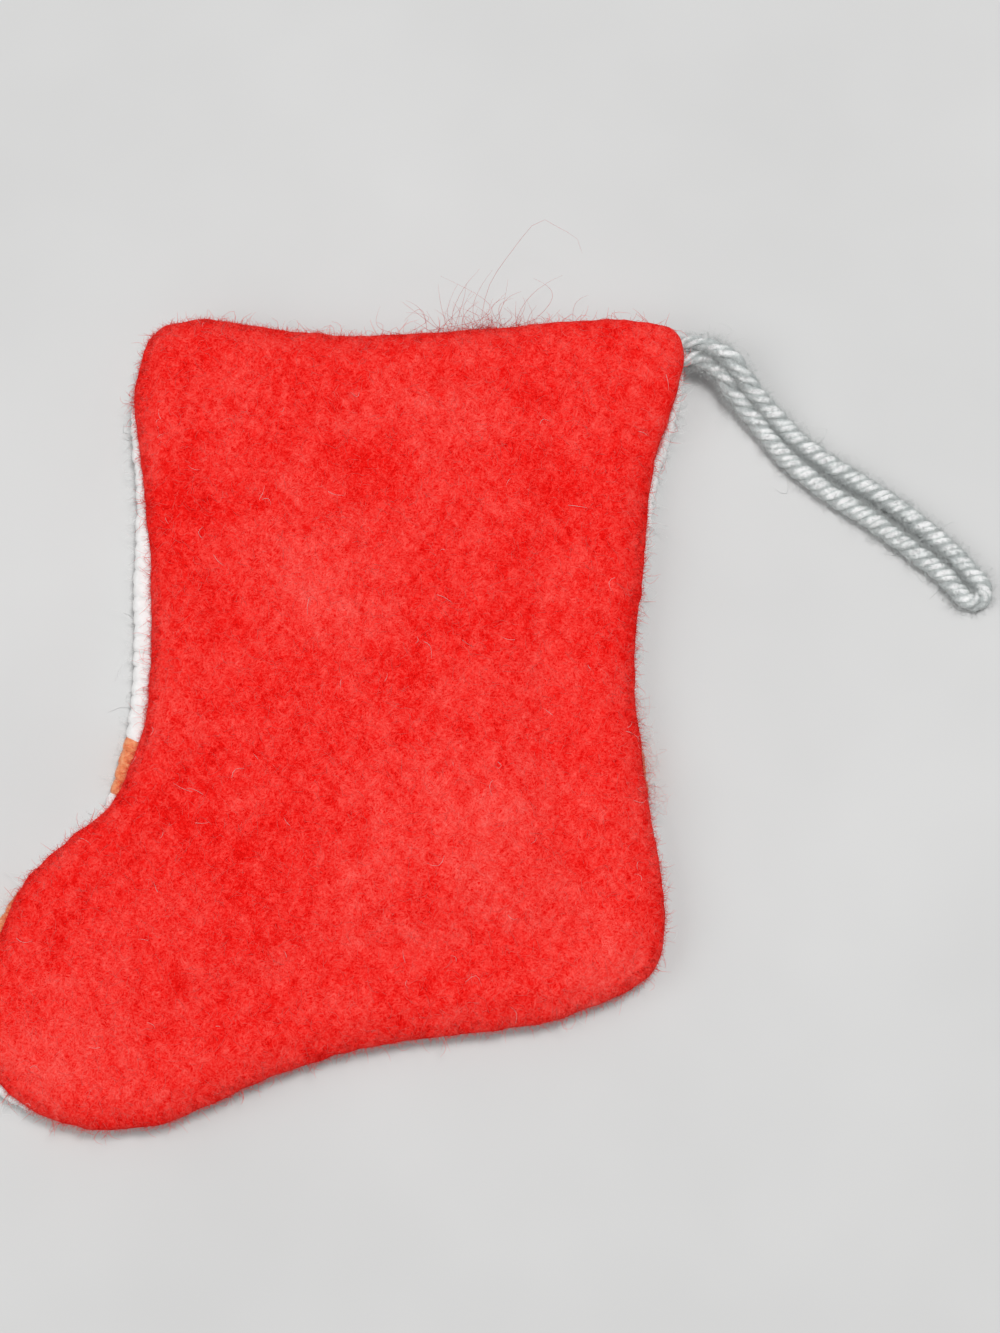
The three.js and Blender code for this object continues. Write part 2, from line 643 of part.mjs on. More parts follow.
function hangerLoop() {
  const middle = loopMiddle();
  const leg = (side) =>
    middle.getSpacedPoints(LEG_STATIONS).map((p, i) => {
      const way = middle.getTangentAt(i / LEG_STATIONS);
      const across = i === 0 ? rootSide : new THREE.Vector2(-way.y, way.x).normalize();
      return new THREE.Vector3(p.x + side * legReach * across.x, p.y + side * legReach * across.y, p.z);
    });
  const tip = middle.getPointAt(1);
  const tipWay = middle.getTangentAt(1);
  const fold = Array.from({ length: FOLD_STATIONS }, (_, k) => {
    const turn = Math.PI / 2 - (Math.PI * (k + 1)) / (FOLD_STATIONS + 1);
    const angle = Math.atan2(tipWay.y, tipWay.x) + turn;
    return new THREE.Vector3(tip.x + legReach * Math.cos(angle), tip.y + legReach * Math.sin(angle), tip.z);
  });
  const curve = new THREE.CatmullRomCurve3([...leg(1), ...fold, ...leg(-1).reverse()]);
  const yarn = tube(curve, yarnRadius, YARN_SIDES, YARN_STEPS);
  const bend = (side) => {
    const ball = new THREE.SphereGeometry(yarnRadius, ...BEND_SEGMENTS);
    const place = hingePlace.clone().addScaledVector(rootSide, side * legReach);
    return solidOf(ball.translate(place.x, place.y, rootMiddle));
  };
  return yarn.add(bend(1)).add(bend(-1));
}

// Materials
const cloth = (color, roughness = 0.95) => new THREE.MeshStandardMaterial({ color, roughness, metalness: 0 });
const redFelt = cloth(0xf2342e);
const whiteYarn = cloth(0xece7e0);
const orangeYarn = cloth(0xc8672a);
const bareCanvas = cloth(0xe3dac6);
const redThread = cloth(0xb3221f, 0.8);
const greyYarn = cloth(0xb9bfbe);

// Assembly
const ornament = new THREE.Group();
const stocking = new THREE.Group();
const hanger = new THREE.Group();
ornament.add(stocking, hanger);

function place(group, name, solid, material) {
  const mesh = new THREE.Mesh(geometryOf(solid), material);
  mesh.name = name;
  group.add(mesh);
}

const plate = prism(insetOutline(frontEdge, BINDING_LAP + CLEARANCE), 0, STITCH_HEIGHT);
const binding = edgeBinding();
place(stocking, "felt_back", feltBack(), redFelt);
place(stocking, "front_canvas", frontCanvas(), bareCanvas);
place(stocking, "stitches_leg", plate.intersect(legSide), whiteYarn);
place(stocking, "stitches_ankle_band", plate.intersect(ankleSide), orangeYarn);
place(stocking, "stitches_foot", plate.intersect(footSide), whiteYarn);
place(stocking, "stitches_toe_band", plate.intersect(toeBandSide), orangeYarn);
place(stocking, "stitches_toe", plate.intersect(toeSide), whiteYarn);
place(stocking, "binding_leg", binding.intersect(legSide), whiteYarn);
place(stocking, "binding_ankle_front", binding.intersect(ankleSide).intersect(upperSide), orangeYarn);
place(stocking, "binding_ankle_back", binding.intersect(ankleSide).intersect(lowerSide), orangeYarn);
place(stocking, "binding_instep", binding.intersect(footSide).intersect(upperSide), whiteYarn);
place(stocking, "binding_sole", binding.intersect(footSide).intersect(lowerSide), whiteYarn);
place(stocking, "binding_toe_band_top", binding.intersect(toeBandSide).intersect(upperSide), orangeYarn);
place(stocking, "binding_toe_band_bottom", binding.intersect(toeBandSide).intersect(lowerSide), orangeYarn);
place(stocking, "binding_toe", binding.intersect(toeSide), whiteYarn);
place(stocking, "seam_thread", seamThread(), redThread);
place(stocking, "hanger_tack", hangerTack(), redThread);
place(hanger, "hanger_root", hangerRoot(), greyYarn);
place(hanger, "hanger_loop", hangerLoop(), greyYarn);

// The origin is the middle of the stocking's footprint, on the table
const footprint = new THREE.Box3().setFromObject(stocking, true);
const middle = footprint.getCenter(new THREE.Vector3());
ornament.position.set(-middle.x, -middle.y, -footprint.min.z);

export default ornament;
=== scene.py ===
"""A felt-backed mini stocking ornament that lies on its stitched front, with its looks.

Sizes are millimetres in the model's frame: +X from toe to heel, +Y from toe to mouth, +Z out of the felt.
"""
import math
from types import SimpleNamespace as Values

import bpy
import numpy as np
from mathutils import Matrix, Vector
from mathutils.geometry import delaunay_2d_cdt
from mathutils.kdtree import KDTree


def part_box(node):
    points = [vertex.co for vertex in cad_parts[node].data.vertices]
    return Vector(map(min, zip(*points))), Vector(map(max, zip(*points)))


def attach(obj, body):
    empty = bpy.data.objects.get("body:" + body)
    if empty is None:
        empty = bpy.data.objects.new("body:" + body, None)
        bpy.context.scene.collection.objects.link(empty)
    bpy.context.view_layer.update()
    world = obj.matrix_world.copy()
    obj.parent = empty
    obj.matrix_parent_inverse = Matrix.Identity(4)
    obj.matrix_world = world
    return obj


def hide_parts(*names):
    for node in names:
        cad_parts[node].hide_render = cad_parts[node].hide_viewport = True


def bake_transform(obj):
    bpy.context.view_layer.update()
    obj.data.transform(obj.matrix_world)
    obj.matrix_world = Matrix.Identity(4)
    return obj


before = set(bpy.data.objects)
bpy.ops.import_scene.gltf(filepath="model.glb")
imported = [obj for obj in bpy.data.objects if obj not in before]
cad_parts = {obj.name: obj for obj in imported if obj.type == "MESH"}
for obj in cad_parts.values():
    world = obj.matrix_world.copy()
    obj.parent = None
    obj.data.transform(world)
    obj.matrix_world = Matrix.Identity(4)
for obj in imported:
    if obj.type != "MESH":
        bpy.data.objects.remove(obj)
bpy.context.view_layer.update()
MM = 0.001
TINY = 1e-9
UP = np.array([0.0, 0.0, 1.0])

# Outline of the felt back: mouth and cuff
STOCKING_HEIGHT = 102.9
CUFF_WIDTH = 70.35
MOUTH_DIP = 2
MOUTH_DIP_PLACE = 25.65
MOUTH_BACK_FALL = 0.5
FRONT_CORNER = 7
FRONT_CORNER_FALL = 10.75
BACK_CORNER = 4
BACK_CORNER_SLOPE = 1.1
BACK_CORNER_RUN = 12
BACK_CORNER_FALL = 5.2

# Outline of the felt back: leg, with the pucker behind it
PUCKER_DROP = 19.75
PUCKER_DEPTH = 3.85
PUCKER_SHOULDER_DROP = 13.35
PUCKER_SHOULDER_DEPTH = 1.75
LEG_BACK_DROP = 34.65
LEG_BACK_OUTSET = 1.25
LEG_FRONT_RISE = 10
LEG_FRONT_OUTSET = 0.1
CUFF_FRONT_OUTSET = 2.75
CUFF_FRONT_DROP = 24.05
CUFF_FRONT_INSET = 1.5
ANKLE_WIDTH = 60.9
ANKLE_DROP = 44.85
ANKLE_BACK_INSET = 3.5
ANKLE_BACK_FALL = 1.1
ANKLE_FRONT_FALL = 6.1

# Outline of the felt back: foot
FOOT_LENGTH = 83.9
HEEL_RISE = 24.35
HEEL_BACK_HEIGHT = 16.1
HEEL_SHOULDER_INSET = 1.9
HEEL_CORNER_INSET = 2.3
HEEL_CORNER_DROP = 6
HEEL_SOLE_INSET = 12.95
SOLE_RISE = 13.35
TOE_MIDDLE_INSET = 14.6

# How far the stitched front stands past the felt, by stretch of the edge
REVEAL_MOUTH = -0.2
REVEAL_PUCKER = 1
REVEAL_BACK = 0.3
REVEAL_HEEL = -0.4
REVEAL_SOLE = -1.1
REVEAL_TOE = 1.2
REVEAL_INSTEP = 0.5
REVEAL_INSTEP_TOP = 1
REVEAL_ANKLE = 2.15
REVEAL_LEG = 2.5
REVEAL_CUFF = 1.4
REVEAL_CUFF_TOP = 0.8
REVEAL_FRONT_CORNER = 0.3

# Stations of arch and ball: share of the way from heel to toe, and rise above the sole
SOLE_STATIONS = [(0.51, 9.7), (0.8, 5.1)]

# Stations round the toe, from the sole to the instep: inset from the tip, rise above the sole, and reveal
TOE_STATIONS = [
    (23.6, 1, REVEAL_SOLE),
    (15.9, 0, REVEAL_SOLE),
    (9.2, 1.35, REVEAL_HEEL),
    (3.6, 5, REVEAL_TOE),
    (0.3, 10.45, REVEAL_TOE),
    (0.1, 17.45, REVEAL_TOE),
    (2.2, 23.85, REVEAL_TOE),
    (5.1, 29.95, REVEAL_INSTEP),
]

# Stations of the instep: share of the way from toe to ankle, hollow below that line, and reveal
INSTEP_STATIONS = [
    (0.27, 1.35, REVEAL_INSTEP),
    (0.49, 3.05, REVEAL_INSTEP_TOP),
    (0.73, 2.5, REVEAL_ANKLE),
]

# Layers, from the table up
CANVAS_BOTTOM = 1.45
CANVAS_THICKNESS = 0.5
HEM_LIFT = 0.75
HEM_WIDTH = 8
CANVAS_INSET = 1.25
SEAM_HEIGHT = 3.27
FELT_SEAT = 3.66
FELT_THICKNESS = 2.2
FELT_NOSE = 0.55
FELT_ROLL = 3.8
FELT_UNDER_ROLL = 0.5

# Form of the felt back
CREST_INSET = 4.5
CREST_RISE = 0.7
CHANNEL_INSET = 9.5
CHANNEL_SINK = 0.9
CORNER_LIFT = 2.15
CORNER_LIFT_FLAT = 4.5
CORNER_LIFT_SPREAD = 13
FELT_PITCH = 0.52
FELT_UNDER_PITCH = 1.5
FELT_RINGS = [0.1, 0.28, 0.55, 0.95, 1.45, 2.0, 2.6, 3.1]
FELT_UNDER_RINGS = [0.12, 0.35, 0.8]
EDGE_STEP = 0.35

# Lumps of the felted wool: wavelength and height
FELT_LUMPS = [(16, 0.07), (6.5, 0.06), (2.6, 0.035), (1.3, 0.03)]
FELT_EDGE_LUMPS = [(9, 0.1), (2.6, 0.035)]

# Loose fibres: thickness, and how far a fibre's tip thins
FIBRE_RADIUS = 0.022
WOOL_FIBRE_RADIUS = 0.02
HAIR_RADIUS = 0.018
FIBRE_TAPER = 0.7
TABLE_CLEARANCE = 0.02

# Fibres that lie on the felt: spans are least and most
FUZZ = Values(
    count=8000, jitter=0.2, length=(0.6, 2.4), curl=0.35, arch=(0.0, 0.09), sink=0.03, width=1.3,
)
LINT = Values(count=70, lift=0.05, width=1.6)

# Fibres out of the felt's edge: turn and rise are middle and spread, length is shape and scale
EDGE_FUZZ = Values(
    count=14000, turn=(0, 0.8), level=(0.1, 2.0), sink=0.2, roll=1.3, rise=(0.1, 0.45),
    shortest=0.35, length=(1.1, 0.25), longest=2.4,
)

# Wisps at the mouth
WISP = Values(
    count=90, middle=19, spread=5, drop=6, penalty=9, level=(0.4, 1.8), turn=(math.pi / 2, 0.8),
    rise=(-0.12, 0.25), shortest=1.2, length=2.2, reach=7, curl=0.5, steps=14,
)

# Two long wisps at the mouth: place along it, reach past it, and height
WISP_STRANDS = [
    [(15.4, -1, 4.6), (15.6, 1.2, 4.8), (17, 4.2, 5.2), (19, 6.6, 5.6)],
    [(19, -1, 4.6), (20.2, 4, 6), (23, 7.6, 8.6), (26.8, 11, 11.2), (28.6, 10.4, 11.4), (29.6, 9.2, 11.2),
     (31, 9.6, 10.6), (32.2, 7.2, 9.4)],
]

# Fibres out of the overcast edge
WOOL_FUZZ = Values(
    count=1500, level=(0.3, 3.4), sink=0.35, turn=(0, 0.8), rise=(0.15, 0.4), shortest=0.7,
    length=(2.0, 0.35), curl=0.4,
)

# Pale curls above the heel
TUFT = Values(
    middle=-6, reach=8, count=130, sink=0.5, level=(2.6, 4.6), turn=(0, 0.9), rise=(0.1, 0.4),
    length=(0.8, 2.4), curl=0.9,
)

# Coloured bands of the stitching
ANKLE_BAND_DROP = 10.3
ANKLE_BAND_WIDTH = 6.4
TOE_BAND_REACH = 10.1
TOE_BAND_WIDTH = 5
TOE_BAND_TILT = 21

# Canvas
CANVAS_PITCH = 1.8
CANVAS_FOLD = 0.25
CANVAS_BODY = 0.9

# Tent stitches
STITCH = Values(
    inset=3.05, reach=0.68, half_width=0.6, half_height=0.46, low=0.52, high=0.98, jitter=0.04,
    pinch=0.45,
)

# Overcast stitches: twist is the height, count and turn of the plies that show
WRAP = Values(
    half_width=1.08, half_height=0.42, slant=1.5, sides=12, twist=(0.07, 3, 9), inset_jitter=0.06,
    slip_jitter=0.1, size_jitter=0.05, end_pinch=0.5, end_sharpness=16,
)

# Middle line of one overcast stitch round the folded canvas: inset from the edge, and height
WRAP_LINE = [
    (3.1, 3.14),
    (2.35, 3.19),
    (1.6, 3.18),
    (0.85, 3.0),
    (0.46, 2.35),
    (0.46, 1.4),
    (0.85, 0.72),
    (1.6, 0.58),
    (2.35, 0.66),
]

# Seam thread
SEAM_INSET = 3.6
SEAM_FRONT_DROP = 8
SEAM_BACK_DROP = 16
SEAM_PITCH = 3.2
SEAM_SWAY = 0.36
THREAD_RADIUS = 0.14

# Hanging yarn
YARN_DIAMETER = 2.5
LEG_GAP = 0.3
KNOT_LINE_RADIUS = 1.48
KNOT_SWEEP = (165, 94)
TACK_BACK_INSET = 4.4
TACK_MOUTH_INSET = 4.75
TACK_BOTTOM = 2.95
TACK_TOP = 5.75
TACK_TURNS = 7
TACK_RADIUS = 0.34
ROOT_ANGLE = -2
ROOT_HEIGHT = 4.8
HINGE_REACH = 8.6
LOOP_HEIGHT = 1.3

# How the two legs of the yarn lie together, with the runs from the tack over which that changes
PRESSED_REACH = 1.12
PRESSED_DRAW_IN = 0.2
DRAW_IN_RUN = (4, 7)
PART_RUN = (15, 27)
LEG_SPREAD = 0.28
SPREAD_RUN = (22, 34)
SPREAD_END_RUN = (40, 53)
LEG_OVERLAP = 0.6
OVERLAP_RUN = (4.5, 9.5)
OVERLAP_END_RUN = (13, 25)
PRESSED_THICKNESS = 0.78
THICKEN_RUN = (6.5, 11)
LEG_SKIP = 6
LINE_THINNING = 3

# Lay and strands of the yarn, and waves along it: height and length
YARN_LAY = 4.5
ROOT_LAY = 8.5
LAY_CHANGE = (8, 21)
# crest is the width of the painted highlight round each strand's top
STRAND = Values(angles=[0, 68, 180, 248], radius=0.64, ring=0.63, sides=16, crest=0.55, sway=(0.12, 3.1))
# Span of upward lean over which the painted highlight comes in, so the yarn's upper side is painted lighter
PAINTED_TOP_LIGHT_SPAN = (0.5, 1.0)
RING_WAVES = [(0.07, 1.7, 2.1), (0.06, 0.83, 1)]
PUFF_WAVES = [(0.06, 0.62, 1), (0.04, 0.27, 3)]
PLY_WAVE = (0.05, 2.4)
PLY_COUNT = 5
# Waves that break the painted highlight into patches along the strands
PATCH_WAVE = (0.45, 0.9)
PATCH_LENGTH = 2.3
YARN_STEP = 0.3

# Hairs of the yarn
YARN_HAIRS = 9000
HAIR = Values(start=5.2, depth=0.47, lean=1.0, shortest=0.3, length=(1.4, 0.32), curl=0.5)
GAP_HAIRS = 2600
GAP_HAIR = Values(angle=150, spread=0.3)

# Route of the yarn's tied ends from the tack: reach and bow to the side
ROOT_ROUTE = [(0, 0), (2.5, 0.15), (5, 0.6), (7, 0.55)]

# Route of the hanger loop's middle line from its bend, in plan, with its share of the fall to the table
LOOP_ROUTE = [
    (1.5, -1.3, 0.1),
    (3.3, -3.7, 0.38),
    (6.6, -7.5, 0.8),
    (9.8, -11.2, 1),
    (12.9, -13.9, 1),
    (16.1, -16.3, 1),
    (21.1, -19.6, 1),
    (26.1, -23.6, 1),
    (29.8, -26.9, 1),
    (32.6, -30.3, 1),
]

# Camera of the photograph: where its middle looks, and how
VIEW_TARGET = (20.576, 6.585, 0)
VIEW_ELEVATION = 78
VIEW_DISTANCE = 300
VIEW_FOCAL_PIXELS = 2355
VIEW_HEIGHT_PIXELS = 1333
SENSOR_SIZE = 36
CLIP_START = 0.01

# Light and floor, in metres: place, size and power of each lamp
WORLD_STRENGTH = 0.34
LAMPS = {
    "key": ((0.13, 0.09, 0.68), 0.14, 3.2),
    "fill": ((-0.46, -0.14, 0.52), 0.5, 1.65),
}
FLOOR_SIZE = 4.0
FLOOR_DROP = 0.02

# Places worked out from the sizes
Y_MOUTH = STOCKING_HEIGHT / 2
Y_SOLE = -STOCKING_HEIGHT / 2
Y_ANKLE = Y_MOUTH - ANKLE_DROP
Y_HEEL = Y_SOLE + HEEL_RISE
X_HEEL = FOOT_LENGTH / 2
X_TOE = -FOOT_LENGTH / 2
X_ANKLE_BACK = X_HEEL - ANKLE_BACK_INSET
X_ANKLE_FRONT = X_ANKLE_BACK - ANKLE_WIDTH
X_CUFF_FRONT = X_ANKLE_FRONT - CUFF_FRONT_OUTSET
X_CUFF_BACK = X_CUFF_FRONT + CUFF_WIDTH
TOE_MIDDLE = np.array([X_TOE + TOE_MIDDLE_INSET, Y_SOLE + TOE_MIDDLE_INSET])
TACK_PLACE = np.array([X_CUFF_BACK - TACK_BACK_INSET, Y_MOUTH - TACK_MOUTH_INSET])
LEG_REACH = (YARN_DIAMETER + LEG_GAP) / 2


def direction(degrees):
    angle = math.radians(degrees)
    return np.array([math.cos(angle), math.sin(angle)])


ROOT_WAY = direction(ROOT_ANGLE)
ROOT_SIDE = direction(ROOT_ANGLE + 90)
HINGE_PLACE = TACK_PLACE + HINGE_REACH * ROOT_WAY
tack_low, tack_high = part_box("hanger_tack")
tack_middle = np.array((tack_low + tack_high) / 2) / MM
SHIFT = np.array([*(tack_middle[:2] - TACK_PLACE), 0])

# Soft swellings of the felt: place, spread along x and y, and height
SWELLINGS = [
    (X_HEEL - 23.5, Y_SOLE + 35.4, 12, 11, 1.1),
    (TOE_MIDDLE[0] + 2, TOE_MIDDLE[1] - 3.2, 9, 8, 0.9),
    (X_ANKLE_FRONT + 20.9, Y_ANKLE + 10.9, 9, 8, 0.6),
    (X_CUFF_BACK - 31.7, Y_MOUTH - 13.4, 6, 6, 0.5),
]

# Shallow creases of the felt below the mouth: two ends, half width and depth
CREASES = [
    ((X_CUFF_FRONT + 30, Y_MOUTH - 8.4), (X_CUFF_FRONT + 31.2, Y_MOUTH - 28.4), 3.5, 0.5),
    ((X_CUFF_BACK - 10.6, Y_MOUTH - 15.4), (X_CUFF_BACK - 16.2, Y_MOUTH - 31.4), 4, 0.6),
]

# Painted highlights where the felt swells and painted shade in and beside its creases: place, spread and
# strength
FELT_PAINTED_LIGHT_AND_SHADE = [
    (X_CUFF_FRONT + 38.6, Y_MOUTH - 12.9, 6, 0.2),
    (X_CUFF_FRONT + 24.2, Y_MOUTH - 33.9, 7.5, 0.2),
    (X_HEEL - 23.4, Y_SOLE + 34.9, 11, 0.2),
    (TOE_MIDDLE[0] - 4, TOE_MIDDLE[1] - 7, 8, 0.2),
    (X_HEEL - 9, Y_SOLE + 19, 8, 0.14),
    (X_CUFF_FRONT + 6.5, Y_MOUTH - 27.4, 6, -0.16),
    (X_ANKLE_FRONT + 11, Y_ANKLE - 20.7, 9, -0.1),
    (X_CUFF_BACK - 16, Y_MOUTH - 24, 6, -0.13),
    (X_CUFF_FRONT + 30.4, Y_MOUTH - 20, 5, -0.15),
]


# Curves and outlines
def spline(points, closed=False, fineness=40):
    """Dense points along the centripetal Catmull-Rom curve through the points."""
    knots = np.asarray(points, float)
    if closed:
        before, start, end, after = (np.roll(knots, -k, axis=0) for k in (-1, 0, 1, 2))
    else:
        ends = 2 * knots[[0, -1]] - knots[[1, -2]]
        run = np.vstack([ends[:1], knots, ends[1:]])
        before, start, end, after = run[:-3], run[1:-2], run[2:-1], run[3:]
    root = [np.sqrt(np.linalg.norm(b - a, axis=1))[:, None]
            for a, b in ((before, start), (start, end), (end, after))]
    leave = (start - before) / root[0] - (end - before) / (root[0] + root[1]) + (end - start) / root[1]
    arrive = (end - start) / root[1] - (after - start) / (root[1] + root[2]) + (after - end) / root[2]
    leave, arrive = leave * root[1], arrive * root[1]
    t = np.linspace(0, 1, fineness, endpoint=False)[:, None, None]
    square = 3 * (end - start) - 2 * leave - arrive
    cube = 2 * (start - end) + leave + arrive
    line = (start + leave * t + square * t**2 + cube * t**3).transpose(1, 0, 2).reshape(-1, knots.shape[1])
    return line if closed else np.vstack([line, knots[-1:]])


def run_along(line):
    return np.concatenate([[0], np.cumsum(np.linalg.norm(np.diff(line, axis=0), axis=1))])


def spaced(line, step, closed=False):
    """The line's points set a steady step apart; on a closed line the step is made to come out even."""
    whole = np.vstack([line, line[:1]]) if closed else line
    run = run_along(whole)
    count = max(round(run[-1] / step), 2)
    stops = np.linspace(0, run[-1], count, endpoint=not closed)
    return np.column_stack([np.interp(stops, run, axis) for axis in whole.T])


def outward(points):
    """Outward normals of a closed clockwise outline."""
    step = np.roll(points, -1, axis=0) - np.roll(points, 1, axis=0)
    normal = np.column_stack([-step[:, 1], step[:, 0]])
    return normal / np.linalg.norm(normal, axis=1, keepdims=True)


def nearest(points, others, batch=2000):
    """Distance from each point to the nearest of the others."""
    parts = np.array_split(points, max(len(points) // batch, 1))
    return np.concatenate([
        np.sqrt(((part[:, None, :] - others[None]) ** 2).sum(2).min(1)) for part in parts
    ])


def smoothstep(value, low, high):
    share = np.clip((value - low) / (high - low), 0, 1)
    return share * share * (3 - 2 * share)


def hump(value, rise, fall):
    """A share that rises over one span and falls again over another."""
    return smoothstep(value, *rise) * (1 - smoothstep(value, *fall))


def ripple(points, wavelength, seed, waves=24, spread=(0.7, 1.5)):
    """Smooth seeded noise of about unit height over points in plan."""
    rng = np.random.default_rng(seed)
    angle = rng.uniform(0, 2 * math.pi, waves)
    pace = 2 * math.pi / (wavelength * rng.uniform(*spread, waves))
    phase = rng.uniform(0, 2 * math.pi, waves)
    across = points[:, :1] * np.cos(angle) + points[:, 1:2] * np.sin(angle)
    return np.cos(across * pace + phase).sum(1) / math.sqrt(waves / 2)


def inset_points(outline, inset):
    """Points inside an outline at one distance from it, without those that a tight corner folds over."""
    moved = outline - inset * outward(outline)
    return moved[nearest(moved, outline) > inset - EDGE_STEP / 4]


def stations():
    """The felt's edge, clockwise from the mouth's front corner: x, y and the front's reveal."""
    corner_share = 1 - math.sqrt(0.5)
    front_cut = FRONT_CORNER * corner_share
    back_cut = BACK_CORNER * corner_share
    y_back = Y_MOUTH - BACK_CORNER_SLOPE
    toe = [(X_TOE + inset, Y_SOLE + rise, reveal) for inset, rise, reveal in TOE_STATIONS]
    heel_sole = (X_HEEL - HEEL_SOLE_INSET, Y_SOLE + SOLE_RISE, REVEAL_SOLE)
    sole_run = toe[0][0] - heel_sole[0]
    sole = [(heel_sole[0] + share * sole_run, Y_SOLE + rise, REVEAL_SOLE) for share, rise in SOLE_STATIONS]
    toe_top = np.array(toe[-1][:2])
    ankle = np.array([X_ANKLE_FRONT, Y_ANKLE - ANKLE_FRONT_FALL])
    way = (ankle - toe_top) / np.linalg.norm(ankle - toe_top)
    hollow_way = np.array([way[1], -way[0]])
    instep = [(*(toe_top + share * (ankle - toe_top) + hollow * hollow_way), reveal)
              for share, hollow, reveal in INSTEP_STATIONS]
    return np.array([
        (X_CUFF_FRONT + front_cut, Y_MOUTH - front_cut, REVEAL_FRONT_CORNER),
        (X_CUFF_FRONT + FRONT_CORNER, Y_MOUTH, REVEAL_MOUTH),
        (X_CUFF_FRONT + MOUTH_DIP_PLACE, Y_MOUTH - MOUTH_DIP, REVEAL_MOUTH),
        (X_CUFF_BACK - BACK_CORNER_RUN, Y_MOUTH - MOUTH_BACK_FALL, REVEAL_MOUTH),
        (X_CUFF_BACK - BACK_CORNER, y_back, REVEAL_MOUTH),
        (X_CUFF_BACK - back_cut, y_back - back_cut, REVEAL_MOUTH),
        (X_CUFF_BACK, y_back - BACK_CORNER_FALL, REVEAL_BACK),
        (X_CUFF_BACK - PUCKER_SHOULDER_DEPTH, Y_MOUTH - PUCKER_SHOULDER_DROP, REVEAL_PUCKER),
        (X_CUFF_BACK - PUCKER_DEPTH, Y_MOUTH - PUCKER_DROP, REVEAL_PUCKER),
        (X_ANKLE_BACK + LEG_BACK_OUTSET, Y_MOUTH - LEG_BACK_DROP, REVEAL_BACK),
        (X_ANKLE_BACK, Y_ANKLE - ANKLE_BACK_FALL, REVEAL_BACK),
        (X_HEEL - HEEL_SHOULDER_INSET, Y_HEEL + HEEL_BACK_HEIGHT, REVEAL_BACK),
        (X_HEEL, Y_HEEL, REVEAL_HEEL),
        (X_HEEL - HEEL_CORNER_INSET, Y_HEEL - HEEL_CORNER_DROP, REVEAL_HEEL),
        heel_sole,
        *sole,
        *toe,
        *instep,
        (*ankle, REVEAL_LEG),
        (X_ANKLE_FRONT - LEG_FRONT_OUTSET, Y_ANKLE + LEG_FRONT_RISE, REVEAL_LEG),
        (X_CUFF_FRONT + CUFF_FRONT_INSET, Y_MOUTH - CUFF_FRONT_DROP, REVEAL_CUFF),
        (X_CUFF_FRONT, Y_MOUTH - FRONT_CORNER_FALL, REVEAL_CUFF_TOP),
    ])


FELT_STATIONS = stations()
FELT_PLACES = FELT_STATIONS[:, :2]
FRONT_PLACES = FELT_PLACES + outward(FELT_PLACES) * FELT_STATIONS[:, 2:]
felt_line = spline(FELT_PLACES, closed=True)
front_line = spline(FRONT_PLACES, closed=True)
FELT_EDGE = spaced(felt_line, EDGE_STEP, closed=True)
FRONT_EDGE = spaced(front_line, EDGE_STEP, closed=True)
sewn = (FELT_EDGE[:, 1] < Y_MOUTH - BACK_CORNER) | (FELT_EDGE[:, 0] < X_CUFF_FRONT + FRONT_CORNER / 2)
SEWN_EDGE = FELT_EDGE[sewn]


def inside_front(inset, step):
    """A closed line at one distance inside the edge of the front."""
    return spaced(spline(FRONT_PLACES - inset * outward(FRONT_PLACES), closed=True), step, closed=True)


# Lines that part the coloured stretches of yarn
Y_BAND_TOP = Y_ANKLE - ANKLE_BAND_DROP
Y_BAND_BOTTOM = Y_BAND_TOP - ANKLE_BAND_WIDTH
TOE_WAY = direction(180 + TOE_BAND_TILT)
TOE_BAND_END = TOE_MIDDLE @ TOE_WAY + TOE_BAND_REACH
TOE_BAND_START = TOE_BAND_END - TOE_BAND_WIDTH
BAND_MIDDLE = np.array([(X_ANKLE_FRONT + X_ANKLE_BACK) / 2, (Y_BAND_TOP + Y_BAND_BOTTOM) / 2])
foot_way = BAND_MIDDLE - TOE_MIDDLE
UPPER_WAY = np.array([-foot_way[1], foot_way[0]])


def stretch_of(place):
    """Which coloured stretch a place of the front lies in."""
    along_toe = place @ TOE_WAY
    if place[1] > Y_BAND_TOP:
        return "leg"
    if place[1] > Y_BAND_BOTTOM:
        return "ankle_band"
    if along_toe > TOE_BAND_END:
        return "toe"
    if along_toe > TOE_BAND_START:
        return "toe_band"
    return "foot"


def edge_stretch_of(place):
    """Which coloured stretch of the overcast edge a place lies in."""
    upper = (place - TOE_MIDDLE) @ UPPER_WAY > 0
    names = {
        "ankle_band": "ankle_front" if upper else "ankle_back",
        "toe_band": "toe_band_top" if upper else "toe_band_bottom",
        "foot": "instep" if upper else "sole",
    }
    stretch = stretch_of(place)
    return names.get(stretch, stretch)


# Objects and meshes
# Point attribute of painted highlights and painted shade
PAINTED_LIGHT_ATTRIBUTE = "tone"


def add_object(name, data):
    made = bpy.data.objects.new(name, data)
    made.rotation_mode = "QUATERNION"
    bpy.context.scene.collection.objects.link(made)
    return made


